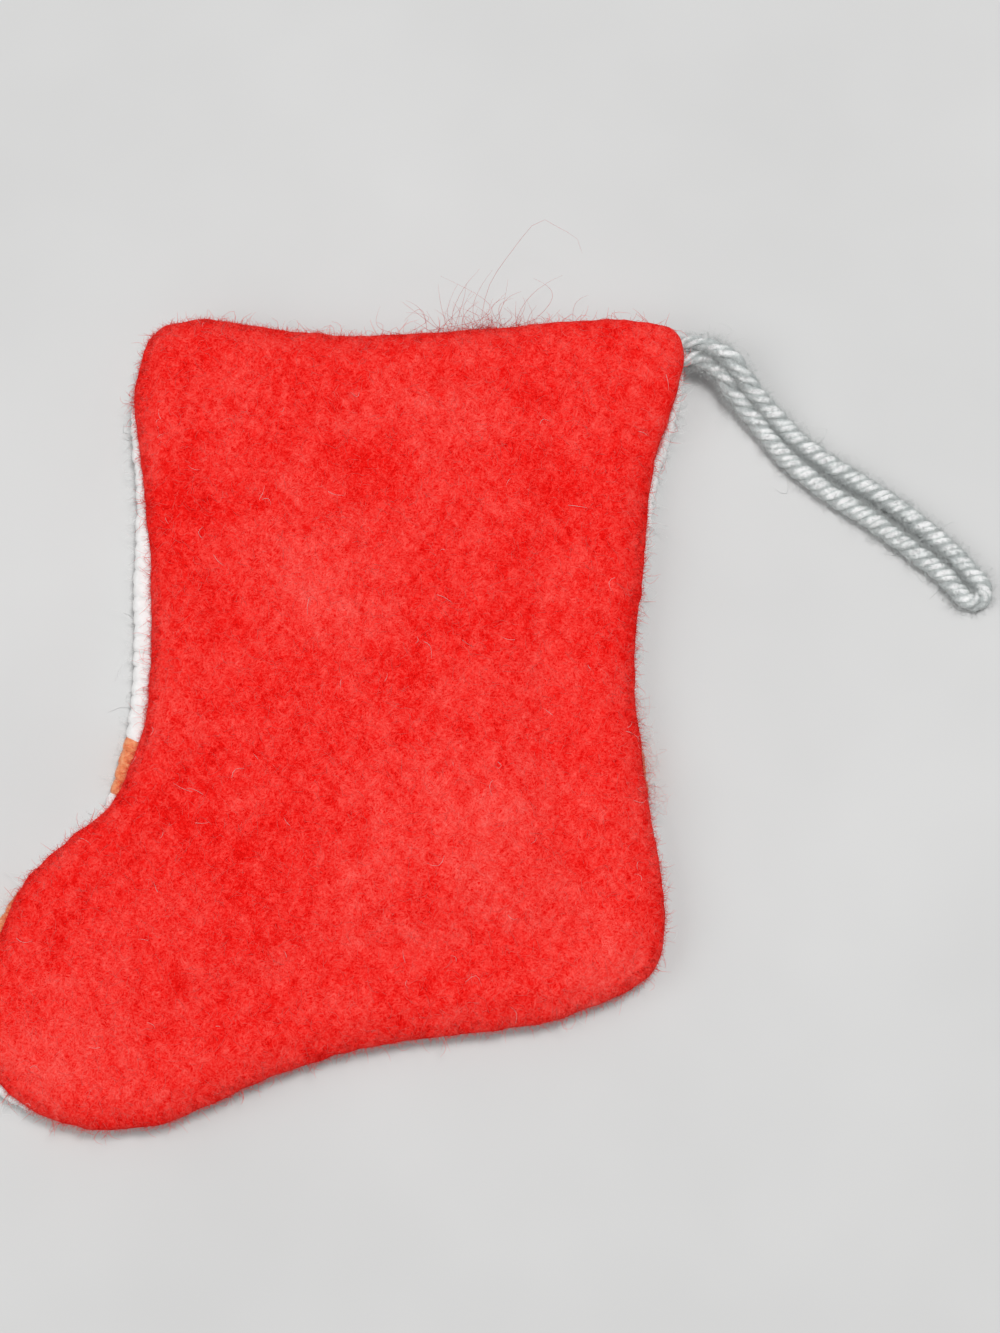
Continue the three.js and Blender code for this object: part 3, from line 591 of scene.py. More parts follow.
def build_mesh(name, points, faces, material, tone=None):
    """A smooth mesh object from points in millimetres and arrays of faces, one array for each corner count.

    Tone is painted light and shade at each point, for a material that reads it.
    """
    mesh = bpy.data.meshes.new(name)
    placed = ((points + SHIFT) * MM).astype(np.float32)
    corners = np.concatenate([f.ravel() for f in faces]).astype(np.int32)
    counts = np.concatenate([np.full(len(f), f.shape[1]) for f in faces])
    starts = np.concatenate([[0], np.cumsum(counts)[:-1]]).astype(np.int32)
    mesh.vertices.add(len(placed))
    mesh.vertices.foreach_set("co", placed.ravel())
    mesh.loops.add(len(corners))
    mesh.loops.foreach_set("vertex_index", corners)
    mesh.polygons.add(len(counts))
    mesh.polygons.foreach_set("loop_start", starts)
    mesh.polygons.foreach_set("use_smooth", np.ones(len(counts), bool))
    mesh.update(calc_edges=True)
    mesh.validate()
    mesh.materials.append(material)
    if tone is not None:
        mesh.attributes.new(PAINTED_LIGHT_ATTRIBUTE, "FLOAT", "POINT").data.foreach_set("value", tone.astype(np.float32))
    return add_object(name, mesh)


def unit(vectors):
    return vectors / np.maximum(np.linalg.norm(vectors, axis=-1, keepdims=True), TINY)


def tangents(paths):
    return unit(np.gradient(paths, axis=-2))


def squared(vectors, ways):
    """Unit vectors nearest to the vectors that are square to the ways."""
    return unit(vectors - ways * (vectors * ways).sum(-1, keepdims=True))


def round_angles(sides):
    return np.arange(sides) * 2 * math.pi / sides


def sweep(paths, across, along, sides, swell=None):
    """Closed tubes round many paths. Across and along are the section's two half axes at each point."""
    many, steps = paths.shape[:2]
    angle = round_angles(sides)
    ring = (np.cos(angle)[:, None] * across[:, :, None] + np.sin(angle)[:, None] * along[:, :, None])
    if swell is not None:
        ring = ring * swell[..., None]
    points = (paths[:, :, None] + ring).reshape(-1, 3)
    index = np.arange(many * steps * sides).reshape(many, steps, sides)
    turned = np.roll(index, -1, axis=2)
    quads = np.stack([index[:, :-1], turned[:, :-1], turned[:, 1:], index[:, 1:]], axis=-1).reshape(-1, 4)
    caps = np.concatenate([index[:, 0, ::-1], index[:, -1]])
    return points, [quads, caps]


def round_sweep(paths, radii, sides, steep=0.8):
    """Closed round tubes round many paths, with a radius at each point."""
    way = tangents(paths)
    middle = unit(way.mean(1, keepdims=True))
    helper = np.where(np.abs(middle[..., 2:]) < steep, UP, [1.0, 0.0, 0.0])
    across = unit(np.cross(way, helper))
    along = np.cross(way, across)
    width = np.broadcast_to(radii, paths.shape[:2])[..., None]
    return sweep(paths, across * width, along * width, sides)


def doubled_areas(places, faces):
    """Twice the area of each triangle in plan, below zero where its corners run clockwise."""
    a, b, c = (places[faces[:, k]] for k in range(3))
    return (b - a)[:, 0] * (c - a)[:, 1] - (b - a)[:, 1] * (c - a)[:, 0]


def triangulate(outline, inner, weld=1e-6):
    """Triangles over an outline and the points inside it: their places, and rows of three corners."""
    places = np.vstack([outline, inner])
    count = len(outline)
    ring = [(k, (k + 1) % count) for k in range(count)]
    found = delaunay_2d_cdt([Vector(p) for p in places], ring, [], 0, weld, True)
    source = np.array([first[0] for first in found[3]])
    faces = source[np.array(found[2])]
    faces = faces[inside(places[faces].mean(1), outline)]
    clockwise = doubled_areas(places, faces) < 0
    faces[clockwise] = faces[clockwise][:, ::-1]
    return places, faces


def scattered(outline, pitch, inset, seed, jitter=0.25):
    """Jittered points that fill an outline evenly, no nearer to it than the inset."""
    rng = np.random.default_rng(seed)
    low, high = outline.min(0), outline.max(0)
    row_pitch = pitch * math.sqrt(0.75)
    columns, rows = np.meshgrid(
        np.arange(low[0], high[0], pitch), np.arange(low[1], high[1], row_pitch)
    )
    columns = columns + (np.arange(len(rows)) % 2)[:, None] * pitch / 2
    places = np.column_stack([columns.ravel(), rows.ravel()])
    places += rng.uniform(-jitter, jitter, places.shape) * pitch
    places = places[inside(places, outline)]
    return places[nearest(places, outline) > inset]


def inside(places, outline):
    """Whether each place lies inside a closed outline."""
    crossings = np.zeros(len(places), bool)
    for a, b in zip(outline, np.roll(outline, -1, axis=0)):
        spans = (a[1] > places[:, 1]) != (b[1] > places[:, 1])
        at = a[0] + (places[:, 1] - a[1]) * (b[0] - a[0]) / ((b[1] - a[1]) or TINY)
        crossings ^= spans & (places[:, 0] < at)
    return crossings


# Materials: middle values of the noise and of the fibre pattern, and how narrow a fibre is
NOISE_MIDDLE = 0.5
FIBRE_MIDDLE = 0.35
STRAND_SHARPNESS = 9.0


class Shader:
    """A node material under short names."""

    def __init__(self, name):
        self.material = bpy.data.materials.new(name)
        self.material.use_nodes = True
        self.tree = self.material.node_tree
        self.surface = self.tree.nodes["Principled BSDF"]
        metres = self.node("TexCoord", {}).outputs["Object"]
        self.place = self.node("VectorMath", {0: metres, 3: 1 / MM}, operation="SCALE").outputs[0]

    def feed(self, socket, value):
        if isinstance(value, bpy.types.NodeSocket):
            self.tree.links.new(value, socket)
        else:
            socket.default_value = value

    def node(self, kind, inputs, **settings):
        node = self.tree.nodes.new("ShaderNode" + kind)
        for name, value in settings.items():
            setattr(node, name, value)
        for key, value in inputs.items():
            self.feed(node.inputs[key], value)
        return node

    def noise(self, place, scale, detail=3.0, roughness=0.55):
        inputs = {"Vector": place, "Scale": scale, "Detail": detail, "Roughness": roughness}
        return self.node("TexNoise", inputs).outputs["Fac"]

    # Painted highlights and painted shade kept on the mesh's points
    def tone(self):
        return self.node("Attribute", {}, attribute_name=PAINTED_LIGHT_ATTRIBUTE).outputs["Fac"]

    def math(self, operation, *values):
        return self.node("Math", dict(enumerate(values)), operation=operation).outputs[0]

    def mixed(self, level, *parts):
        """A level plus each pattern's weighted difference from its middle."""
        total = level
        for pattern, middle, weight in parts:
            total = self.math("MULTIPLY_ADD", self.math("SUBTRACT", pattern, middle), weight, total)
        return total

    def ramp(self, value, stops):
        """Colours along a value: places from 0 to 1, each with its red, green and blue."""
        node = self.node("ValToRGB", {"Fac": value})
        elements = node.color_ramp.elements
        while len(elements) < len(stops):
            elements.new(1.0)
        for element, (place, colour) in zip(elements, stops):
            element.position = place
            element.color = (*colour, 1)
        return node.outputs["Color"]

    def streaks(self, place, turn, thin, length):
        """Soft noise drawn out along one angle."""
        mapped = self.node("Mapping", {
            "Vector": place, "Rotation": (0, 0, math.radians(turn)), "Scale": (thin, length, length)
        }, vector_type="TEXTURE").outputs[0]
        return self.noise(mapped, scale=1.0, detail=2.0)

    def strands(self, place, turn, thin, length):
        """Fine curved fibres that run at one angle: thin bright lines with dark between them."""
        centred = self.math("SUBTRACT", self.streaks(place, turn, thin, length), NOISE_MIDDLE)
        folded = self.math("ABSOLUTE", centred)
        return self.math("MAXIMUM", self.math("MULTIPLY_ADD", folded, -STRAND_SHARPNESS, 1.0), 0.0)

    def bump(self, height, distance, strength=1.0):
        inputs = {"Strength": strength, "Distance": distance * MM, "Height": height}
        self.feed(self.surface.inputs["Normal"], self.node("Bump", inputs).outputs["Normal"])

    def cloth(self, colour, roughness, sheen, tint=(1, 1, 1), shine=0.2, softness=0.5):
        inputs = {
            "Base Color": colour, "Roughness": roughness, "Specular IOR Level": shine,
            "Sheen Weight": sheen, "Sheen Roughness": softness, "Sheen Tint": (*tint, 1),
        }
        for name, value in inputs.items():
            self.feed(self.surface.inputs[name], value)
        return self.material


def felt_material():
    """Felted red wool: a web of pale and dark fibres over soft mottling, with painted highlights and painted
    shade from the mesh's points.
    """
    shader = Shader("red_wool_felt")
    push = 1.6
    warp = shader.node("TexNoise", {"Vector": shader.place, "Scale": 0.5, "Detail": 2.0}).outputs["Color"]
    pushed = shader.node("VectorMath", {0: warp, 3: push}, operation="SCALE").outputs[0]
    bent = shader.node("VectorMath", {0: shader.place, 1: pushed}, operation="ADD").outputs[0]
    web = [shader.strands(bent, turn, thin=0.17, length=2.2) for turn in (12, 74, 133)]
    fibres = shader.math("MAXIMUM", shader.math("MAXIMUM", web[0], web[1]), web[2])
    grain = shader.noise(bent, scale=3.4, detail=3.0, roughness=0.6)
    locks = [shader.streaks(bent, turn, thin=1.0, length=3.6) for turn in (-28, 41)]
    mottle = shader.noise(shader.place, scale=0.13, detail=3.0)
    tone = shader.mixed(
        0.42,
        (fibres, FIBRE_MIDDLE, 0.4),
        (grain, NOISE_MIDDLE, 0.7),
        (locks[0], NOISE_MIDDLE, 0.38),
        (locks[1], NOISE_MIDDLE, 0.38),
        (mottle, NOISE_MIDDLE, 0.35),
        # painted highlights and painted shade from the mesh's points
        (shader.tone(), 0, 0.6),
    )
    colour = shader.ramp(tone, [
        (0.14, (0.48, 0.001, 0.001)),
        (0.35, (0.7, 0.0025, 0.0015)),
        (0.49, (0.79, 0.0075, 0.0055)),
        (0.74, (0.86, 0.058, 0.047)),
        (1.0, (0.9, 0.13, 0.112)),
    ])
    height = shader.mixed(0.5, (fibres, FIBRE_MIDDLE, 0.5), (grain, NOISE_MIDDLE, 1.0))
    shader.bump(height, distance=0.16, strength=0.5)
    return shader.cloth(colour, roughness=0.95, sheen=0.03, tint=(1.0, 0.35, 0.3), shine=0.06)


def wool_material(name, dark, main, light, thin=0.12, length=1.6, crest_highlight=0.0, roughness=0.8, shine=0.2):
    """Spun wool with fine fibres, in three shades of one colour.

    Crest highlight says how far the painted highlight on the top of a strand stands out in tone.
    """
    shader = Shader(name)
    web = [shader.strands(shader.place, turn, thin, length) for turn in (35, 100)]
    fibres = shader.math("MAXIMUM", web[0], web[1])
    grain = shader.noise(shader.place, scale=1.4, detail=4.0)
    parts = [(fibres, FIBRE_MIDDLE, 0.3), (grain, NOISE_MIDDLE, 0.9)]
    # painted highlight on the tops of the strands
    if crest_highlight:
        parts.append((shader.tone(), 0.5, crest_highlight))
    colour = shader.ramp(shader.mixed(0.5, *parts), [(0.15, dark), (0.5, main), (0.85, light)])
    shader.bump(shader.math("ADD", fibres, grain), distance=0.12, strength=0.6)
    return shader.cloth(colour, roughness, sheen=0.12, shine=shine)


def canvas_material():
    """Starched canvas: warp and weft threads one pitch apart."""
    shader = Shader("stitching_canvas")
    pace = math.pi / CANVAS_PITCH
    axes = shader.node("SeparateXYZ", {0: shader.place})
    waves = [shader.math("ABSOLUTE", shader.math("SINE", shader.math("MULTIPLY", axes.outputs[k], pace)))
             for k in (0, 1)]
    weave = shader.math("MAXIMUM", waves[0], waves[1])
    weave_share = 0.7
    grain = shader.noise(shader.place, scale=3.0, detail=3.0)
    rest = shader.math("MULTIPLY", grain, 1 - weave_share)
    tone = shader.math("MULTIPLY_ADD", weave, weave_share, rest)
    colour = shader.ramp(tone, [
        (0.3, (0.42, 0.37, 0.28)),
        (0.6, (0.7, 0.64, 0.52)),
        (0.9, (0.82, 0.77, 0.66)),
    ])
    shader.bump(weave, distance=0.25)
    return shader.cloth(colour, roughness=0.85, sheen=0.0)


def floor_material():
    shader = Shader("pale_floor")
    grain = shader.noise(shader.place, scale=0.02, detail=3.0)
    colour = shader.ramp(grain, [(0.3, (0.56, 0.56, 0.557)), (0.7, (0.6, 0.6, 0.597))])
    return shader.cloth(colour, roughness=0.7, sheen=0.0)


FELT = felt_material()

# Each wool's dark, main and light shade
FELT_FIBRE = wool_material("red_wool_fibre", (0.8, 0.013, 0.011), (0.89, 0.062, 0.052), (0.93, 0.18, 0.16))
DEEP_FIBRE = wool_material("deep_red_fibre", (0.35, 0.008, 0.008), (0.55, 0.018, 0.016), (0.75, 0.04, 0.035))
PINK_FIBRE = wool_material("pink_wool_fibre", (0.75, 0.2, 0.2), (0.85, 0.38, 0.37), (0.9, 0.6, 0.58))
WHITE_WOOL = wool_material("white_wool", (0.84, 0.82, 0.8), (0.93, 0.92, 0.91), (0.97, 0.965, 0.96))
ORANGE_WOOL = wool_material("orange_wool", (0.47, 0.11, 0.032), (0.86, 0.225, 0.08), (0.97, 0.46, 0.24))
# Its light shade is the painted highlight on the strands' tops
GREY_WOOL = wool_material(
    "grey_wool", (0.52, 0.555, 0.55), (0.82, 0.85, 0.84), (1.0, 1.0, 1.0),
    thin=0.1, length=1.0, crest_highlight=0.9, roughness=0.5, shine=0.6,
)
GREY_HAIR = wool_material("grey_wool_hair", (0.5, 0.53, 0.52), (0.66, 0.69, 0.68), (0.82, 0.85, 0.84))
RED_THREAD = wool_material("red_sewing_thread", (0.3, 0.01, 0.01), (0.45, 0.02, 0.018), (0.55, 0.05, 0.04))
CANVAS = canvas_material()


def wool_of(stretch):
    """Material and record slot of a coloured stretch."""
    orange = stretch.startswith(("ankle", "toe_band"))
    return (ORANGE_WOOL, "orange_yarn") if orange else (WHITE_WOOL, "white_yarn")


def finish_piece(piece, slot, *nodes):
    if nodes:
        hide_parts(*nodes)
    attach(piece, "stocking")


# Felt back
def felt_form(places, inset):
    """Height of the felt's underside above its seat."""
    swelling = sum(height * np.exp(-((places[:, 0] - x) / wide) ** 2 - ((places[:, 1] - y) / tall) ** 2)
                   for x, y, wide, tall, height in SWELLINGS)
    crease = np.zeros(len(places))
    for start, end, half_width, depth in CREASES:
        start, end = np.array(start), np.array(end)
        share = np.clip((places - start) @ (end - start) / ((end - start) @ (end - start)), 0, 1)
        off = np.linalg.norm(places - start - share[:, None] * (end - start), axis=1)
        crease += depth * np.exp(-((off / half_width) ** 2))
    from_seam = nearest(places, SEWN_EDGE)
    crest = CREST_RISE * smoothstep(inset, 0, CREST_INSET)
    channel = CHANNEL_SINK * np.exp(-(((from_seam - CHANNEL_INSET) / CREST_INSET) ** 2))
    settled = smoothstep(inset, CREST_INSET, CHANNEL_INSET)
    from_tack = np.linalg.norm(places - TACK_PLACE, axis=1)
    lift = 1 - smoothstep(from_tack, CORNER_LIFT_FLAT, CORNER_LIFT_FLAT + CORNER_LIFT_SPREAD)
    return np.maximum(crest + settled * (swelling - crease - channel), CORNER_LIFT * lift)


def rounded(inset, roll):
    """Share of the full height at a distance inside a rounded edge."""
    return np.sqrt(1 - (1 - np.clip(inset / roll, 0, 1)) ** 2)


def felt_layer(outline, rings, pitch, seed):
    """Places and faces of one side of the felt, with each place's distance from the edge."""
    ring_places = [inset_points(outline, inset) for inset in rings]
    filling = scattered(outline, pitch, rings[-1] + pitch / 2, seed)
    insets = np.concatenate([
        np.zeros(len(outline)),
        *[np.full(len(places), inset) for places, inset in zip(ring_places, rings)],
        nearest(filling, outline),
    ])
    places, faces = triangulate(outline, np.vstack([*ring_places, filling]))
    return places, faces, insets


def lumps_over(places, waves, seed):
    return sum(height * ripple(places, length, seed + k) for k, (length, height) in enumerate(waves))


def felt_back():
    """Felt panel with its two sides joined at the rolled edge, and its loose fibres."""
    wave = lumps_over(FELT_EDGE, FELT_EDGE_LUMPS, seed=31)
    outline = FELT_EDGE + outward(FELT_EDGE) * wave[:, None]
    top, top_faces, top_inset = felt_layer(outline, FELT_RINGS, FELT_PITCH, seed=41)
    under, under_faces, under_inset = felt_layer(outline, FELT_UNDER_RINGS, FELT_UNDER_PITCH, seed=43)
    lumps = lumps_over(top, FELT_LUMPS, seed=51)
    shoulder = rounded(top_inset, FELT_ROLL)
    form = felt_form(top, top_inset)
    top_height = FELT_SEAT + FELT_NOSE + form + (FELT_THICKNESS - FELT_NOSE + lumps) * shoulder
    under_height = FELT_SEAT + felt_form(under, under_inset)
    under_height += FELT_NOSE * (1 - rounded(under_inset, FELT_UNDER_ROLL))
    count = len(outline)
    index = np.concatenate([np.arange(count), len(top) + np.arange(len(under) - count)])
    points = np.vstack([
        np.column_stack([top, top_height]),
        np.column_stack([under, under_height])[count:],
    ])
    # Painted highlights on the swellings and painted shade in the creases, kept on the points
    tone = sum(strength * np.exp(-((points[:, 0] - x) ** 2 + (points[:, 1] - y) ** 2) / spread**2)
               for x, y, spread, strength in FELT_PAINTED_LIGHT_AND_SHADE)
    piece = build_mesh("felt_back_panel", points, [top_faces, index[under_faces][:, ::-1]], FELT, tone)
    finish_piece(piece, "red_felt", "felt_back")
    fuzz = felt_fuzz(np.column_stack([top, top_height]), outline)


def height_finder(points):
    """A function that gives the height of the nearest of the points in plan."""
    tree = KDTree(len(points))
    for k, (x, y, _) in enumerate(points):
        tree.insert((x, y, 0), k)
    tree.balance()
    heights = points[:, 2]
    return lambda places: np.array([heights[tree.find((x, y, 0))[1]] for x, y in places])


# Loose fibres
def fibre_paths(roots, ways, lengths, curl, rng, steps=5):
    """Curved paths that leave their roots along their ways."""
    t = np.linspace(0, 1, steps)[None, :, None]
    bends = [unit(np.cross(ways, rng.normal(size=ways.shape))) for _ in range(2)]
    first, second = (rng.normal(0, curl, (len(roots), 1, 1)) for _ in range(2))
    bow = first * bends[0][:, None] * t**2
    swing = second * bends[1][:, None] * np.sin(math.pi * t)
    return roots[:, None] + (ways[:, None] * t + bow + swing) * lengths[:, None, None]


def fibre_mesh(name, paths, radius, material, sides=3):
    taper = 1 - FIBRE_TAPER * np.linspace(0, 1, paths.shape[1]) ** 2
    points, faces = round_sweep(paths, radius * taper, sides)
    points[:, 2] = np.maximum(points[:, 2], TABLE_CLEARANCE)
    return build_mesh(name, points, faces, material)


def plan_ways(angles, rise):
    return unit(np.column_stack([np.cos(angles), np.sin(angles), rise]))


def felt_fuzz(top_points, outline):
    """Loose fibres over the felt and out of its edge, and the wisps at its mouth."""
    rng = np.random.default_rng(seed=61)
    height_at = height_finder(top_points)
    roots = top_points[rng.choice(len(top_points), FUZZ.count, replace=False)]
    roots = roots + rng.uniform(-FUZZ.jitter, FUZZ.jitter, roots.shape) * [1, 1, 0]
    ways = plan_ways(rng.uniform(0, 2 * math.pi, FUZZ.count), np.zeros(FUZZ.count))
    paths = fibre_paths(roots, ways, rng.uniform(*FUZZ.length, FUZZ.count), FUZZ.curl, rng)
    arch = np.sin(math.pi * np.linspace(0, 1, paths.shape[1])) * rng.uniform(*FUZZ.arch, (FUZZ.count, 1))
    ground = height_at(paths[..., :2].reshape(-1, 2)).reshape(paths.shape[:2])
    paths[..., 2] = ground + arch - FUZZ.sink
    lying = fibre_mesh("felt_surface_fuzz", paths, FUZZ.width * FIBRE_RADIUS, FELT_FIBRE)

    pick = rng.integers(0, len(outline), EDGE_FUZZ.count)
    normal = outward(outline)[pick]
    turn = np.arctan2(normal[:, 1], normal[:, 0]) + rng.normal(*EDGE_FUZZ.turn, EDGE_FUZZ.count)
    level = FELT_SEAT + rng.uniform(*EDGE_FUZZ.level, EDGE_FUZZ.count)
    sink = EDGE_FUZZ.sink + EDGE_FUZZ.roll * ((level - FELT_SEAT) / EDGE_FUZZ.level[1]) ** 3
    roots = np.column_stack([outline[pick] - normal * sink[:, None], level])
    ways = plan_ways(turn, rng.normal(*EDGE_FUZZ.rise, EDGE_FUZZ.count))
    lengths = EDGE_FUZZ.shortest + rng.gamma(*EDGE_FUZZ.length, EDGE_FUZZ.count)
    edge_paths = fibre_paths(roots, ways, np.minimum(lengths, EDGE_FUZZ.longest), FUZZ.curl, rng)
    edge = fibre_mesh("felt_edge_fuzz", edge_paths, FIBRE_RADIUS, FELT)

    flecks = rng.integers(0, len(paths), LINT.count)
    lint_paths = paths[flecks] + [0, 0, LINT.lift]
    lint = fibre_mesh("felt_lint", lint_paths, LINT.width * FIBRE_RADIUS, PINK_FIBRE)

    along = rng.normal(WISP.middle, WISP.spread, WISP.count)
    penalty = WISP.penalty * (outline[:, 1] < Y_MOUTH - WISP.drop)
    start = np.array([outline[np.argmin(np.abs(outline[:, 0] - x) + penalty)] for x in along])
    roots = np.column_stack([start, FELT_SEAT + rng.uniform(*WISP.level, WISP.count)])
    ways = plan_ways(rng.normal(*WISP.turn, WISP.count), rng.uniform(*WISP.rise, WISP.count))
    lengths = np.minimum(WISP.shortest + rng.exponential(WISP.length, WISP.count), WISP.reach)
    wisp_paths = fibre_paths(roots, ways, lengths, WISP.curl, rng, WISP.steps)
    strands = [spline([(x, Y_MOUTH + past, z) for x, past, z in strand]) for strand in WISP_STRANDS]
    strand_paths = [spaced(strand, run_along(strand)[-1] / WISP.steps) for strand in strands]
    wisps = fibre_mesh("felt_mouth_wisps", np.vstack([wisp_paths, strand_paths]), FIBRE_RADIUS, DEEP_FIBRE)

    pieces = [lying, edge, lint, wisps]
    for piece in pieces:
        finish_piece(piece, "red_felt")
    return pieces


# Stitched front
def front_canvas():
    """Canvas with its hem folded in all round, as a sheet and a strip above it joined by the fold."""
    outline = inside_front(CANVAS_INSET, step=1.0)
    inner = scattered(outline, pitch=1.3, inset=0.8, seed=71)
    places, faces = triangulate(outline, inner)
    count = len(outline)
    insets = nearest(places[faces].mean(1), outline)
    hem_faces = faces[insets < HEM_WIDTH]
    middle = CANVAS_BOTTOM + CANVAS_THICKNESS / 2
    ring = np.arange(count)
    after = np.roll(ring, -1)
    bulge = outline + CANVAS_FOLD * outward(outline)
    fold = np.column_stack([bulge, np.full(count, middle + HEM_LIFT / 2)])
    sheet = np.column_stack([places, np.full(len(places), middle)])
    hem = np.column_stack([places, np.full(len(places), middle + HEM_LIFT)])
    points = np.vstack([sheet, hem, fold])
    upper, bend = len(places), 2 * len(places)
    strips = np.vstack([
        np.column_stack([ring, after, bend + after, bend + ring]),
        np.column_stack([bend + ring, bend + after, upper + after, upper + ring]),
    ])
    piece = build_mesh("hemmed_canvas", points, [faces[:, ::-1], upper + hem_faces, strips], CANVAS)
    thicken = piece.modifiers.new("thickness", "SOLIDIFY")
    thicken.thickness = CANVAS_BODY * CANVAS_THICKNESS * MM
    thicken.offset = 0
    finish_piece(piece, "canvas", "front_canvas")


def stitch_piece(kind, node, stretch, points, faces):
    """The stitches of one coloured stretch, in place of its node and no lower than the table."""
    points[:, 2] = np.maximum(points[:, 2], 0)
    material, slot = wool_of(stretch)
    piece = build_mesh(kind + stretch, points, faces, material)
    finish_piece(piece, slot, node + stretch)


def tent_stitches():
    """One slanted stitch over each crossing of the canvas, in a piece for each coloured stretch."""
    low, high = FRONT_EDGE.min(0), FRONT_EDGE.max(0)
    columns, rows = np.meshgrid(*(np.arange(low[k], high[k], CANVAS_PITCH) for k in (0, 1)))
    cells = np.column_stack([columns.ravel(), rows.ravel()])
    cells = cells[inside(cells, FRONT_EDGE)]
    cells = cells[nearest(cells, FRONT_EDGE) > STITCH.inset]
    stretches = np.array([stretch_of(cell) for cell in cells])
    t = np.linspace(-1, 1, num=7)
    plump = (1 - STITCH.pinch * t**4)[None, :, None]
    rng = np.random.default_rng(seed=73)
    for stretch in ("leg", "ankle_band", "foot", "toe_band", "toe"):
        mine = cells[stretches == stretch]
        many = len(mine)
        reach = STITCH.reach * (1 + rng.normal(0, STITCH.jitter, (many, 1)))
        paths = np.empty((many, len(t), 3))
        paths[..., 0] = mine[:, :1] + reach * t
        paths[..., 1] = mine[:, 1:] - reach * t + rng.normal(0, STITCH.jitter, (many, 1))
        paths[..., 2] = STITCH.low + (STITCH.high - STITCH.low) * t**4
        way = tangents(paths)
        across = unit(np.cross(way, UP))
        along = np.cross(way, across)
        half_width = across * STITCH.half_width * plump
        half_height = along * STITCH.half_height * plump
        tubes = sweep(paths, half_width, half_height, sides=8)
        stitch_piece("tent_stitches_", "stitches_", stretch, *tubes)


def overcast_edge():
    """Yarn wrapped stitch by stitch round the folded canvas, in a piece for each coloured stretch."""
    places = spaced(front_line, CANVAS_PITCH, closed=True)
    normals = outward(places)
    ways = np.column_stack([normals[:, 1], -normals[:, 0]])
    stretches = np.array([edge_stretch_of(place) for place in places])
    line = spaced(spline(WRAP_LINE), step=0.42)
    steps = len(line)
    t = np.linspace(-0.5, 0.5, steps)
    angle = round_angles(WRAP.sides)
    twist_height, twist_plies, twist_turn = WRAP.twist
    twist = 1 + twist_height * np.cos(twist_plies * angle[None] + twist_turn * t[:, None])
    pinch = (1 - WRAP.end_pinch * np.abs(2 * t) ** WRAP.end_sharpness)[None, :, None]
    rng = np.random.default_rng(seed=79)
    for stretch in sorted(set(stretches)):
        mine = stretches == stretch
        many = mine.sum()
        jitter = rng.normal(0, WRAP.inset_jitter, (many, 1))
        slip = WRAP.slant * t[None] + rng.normal(0, WRAP.slip_jitter, (many, 1))
        inset = line[None, :, 0] + jitter
        flat = places[mine][:, None] - normals[mine][:, None] * inset[..., None]
        flat = flat + ways[mine][:, None] * slip[..., None]
        paths = np.dstack([flat, np.broadcast_to(line[:, 1], (many, steps))])
        way = tangents(paths)
        side = np.dstack([np.repeat(ways[mine][:, None], steps, 1), np.zeros((many, steps))])
        across = squared(side, way)
        along = np.cross(way, across)
        plump = pinch * (1 + rng.normal(0, WRAP.size_jitter, (many, 1, 1)))
        half_width = across * WRAP.half_width * plump
        half_height = along * WRAP.half_height * plump
        swell = np.broadcast_to(twist, (many, steps, WRAP.sides))
        tubes = sweep(paths, half_width, half_height, WRAP.sides, swell)
        stitch_piece("overcast_", "binding_", stretch, *tubes)


def edge_fuzz():
    """Loose wool fibres out of the overcast edge."""
    rng = np.random.default_rng(seed=83)
    pick = rng.integers(0, len(FRONT_EDGE), WOOL_FUZZ.count)
    normal = outward(FRONT_EDGE)[pick]
    level = rng.uniform(*WOOL_FUZZ.level, WOOL_FUZZ.count)
    roots = np.column_stack([FRONT_EDGE[pick] - WOOL_FUZZ.sink * normal, level])
    turn = np.arctan2(normal[:, 1], normal[:, 0]) + rng.normal(*WOOL_FUZZ.turn, WOOL_FUZZ.count)
    ways = plan_ways(turn, rng.normal(*WOOL_FUZZ.rise, WOOL_FUZZ.count))
    lengths = WOOL_FUZZ.shortest + rng.gamma(*WOOL_FUZZ.length, WOOL_FUZZ.count)
    paths = fibre_paths(roots, ways, lengths, WOOL_FUZZ.curl, rng)
    finish_piece(fibre_mesh("overcast_fuzz", paths, WOOL_FIBRE_RADIUS, WHITE_WOOL), "white_yarn")


def heel_tuft():
    """Pale curls of fibre that work out of the seam above the heel."""
    rng = np.random.default_rng(seed=85)
    along = np.abs(FRONT_EDGE[:, 1] - TUFT.middle) < TUFT.reach
    edge = FRONT_EDGE[along & (FRONT_EDGE[:, 0] > BAND_MIDDLE[0])]
    start = edge[rng.integers(0, len(edge), TUFT.count)]
    roots = np.column_stack([start - [TUFT.sink, 0], rng.uniform(*TUFT.level, TUFT.count)])
    ways = plan_ways(rng.normal(*TUFT.turn, TUFT.count), rng.normal(*TUFT.rise, TUFT.count))
    paths = fibre_paths(roots, ways, rng.uniform(*TUFT.length, TUFT.count), TUFT.curl, rng, steps=9)
    finish_piece(fibre_mesh("heel_tuft", paths, WOOL_FIBRE_RADIUS, PINK_FIBRE), "red_felt")


# Threads
def thread_piece(name, line, node):
    points, faces = round_sweep(line[None], THREAD_RADIUS, sides=6)
    finish_piece(build_mesh(name, points, faces, RED_THREAD), "red_thread", node)


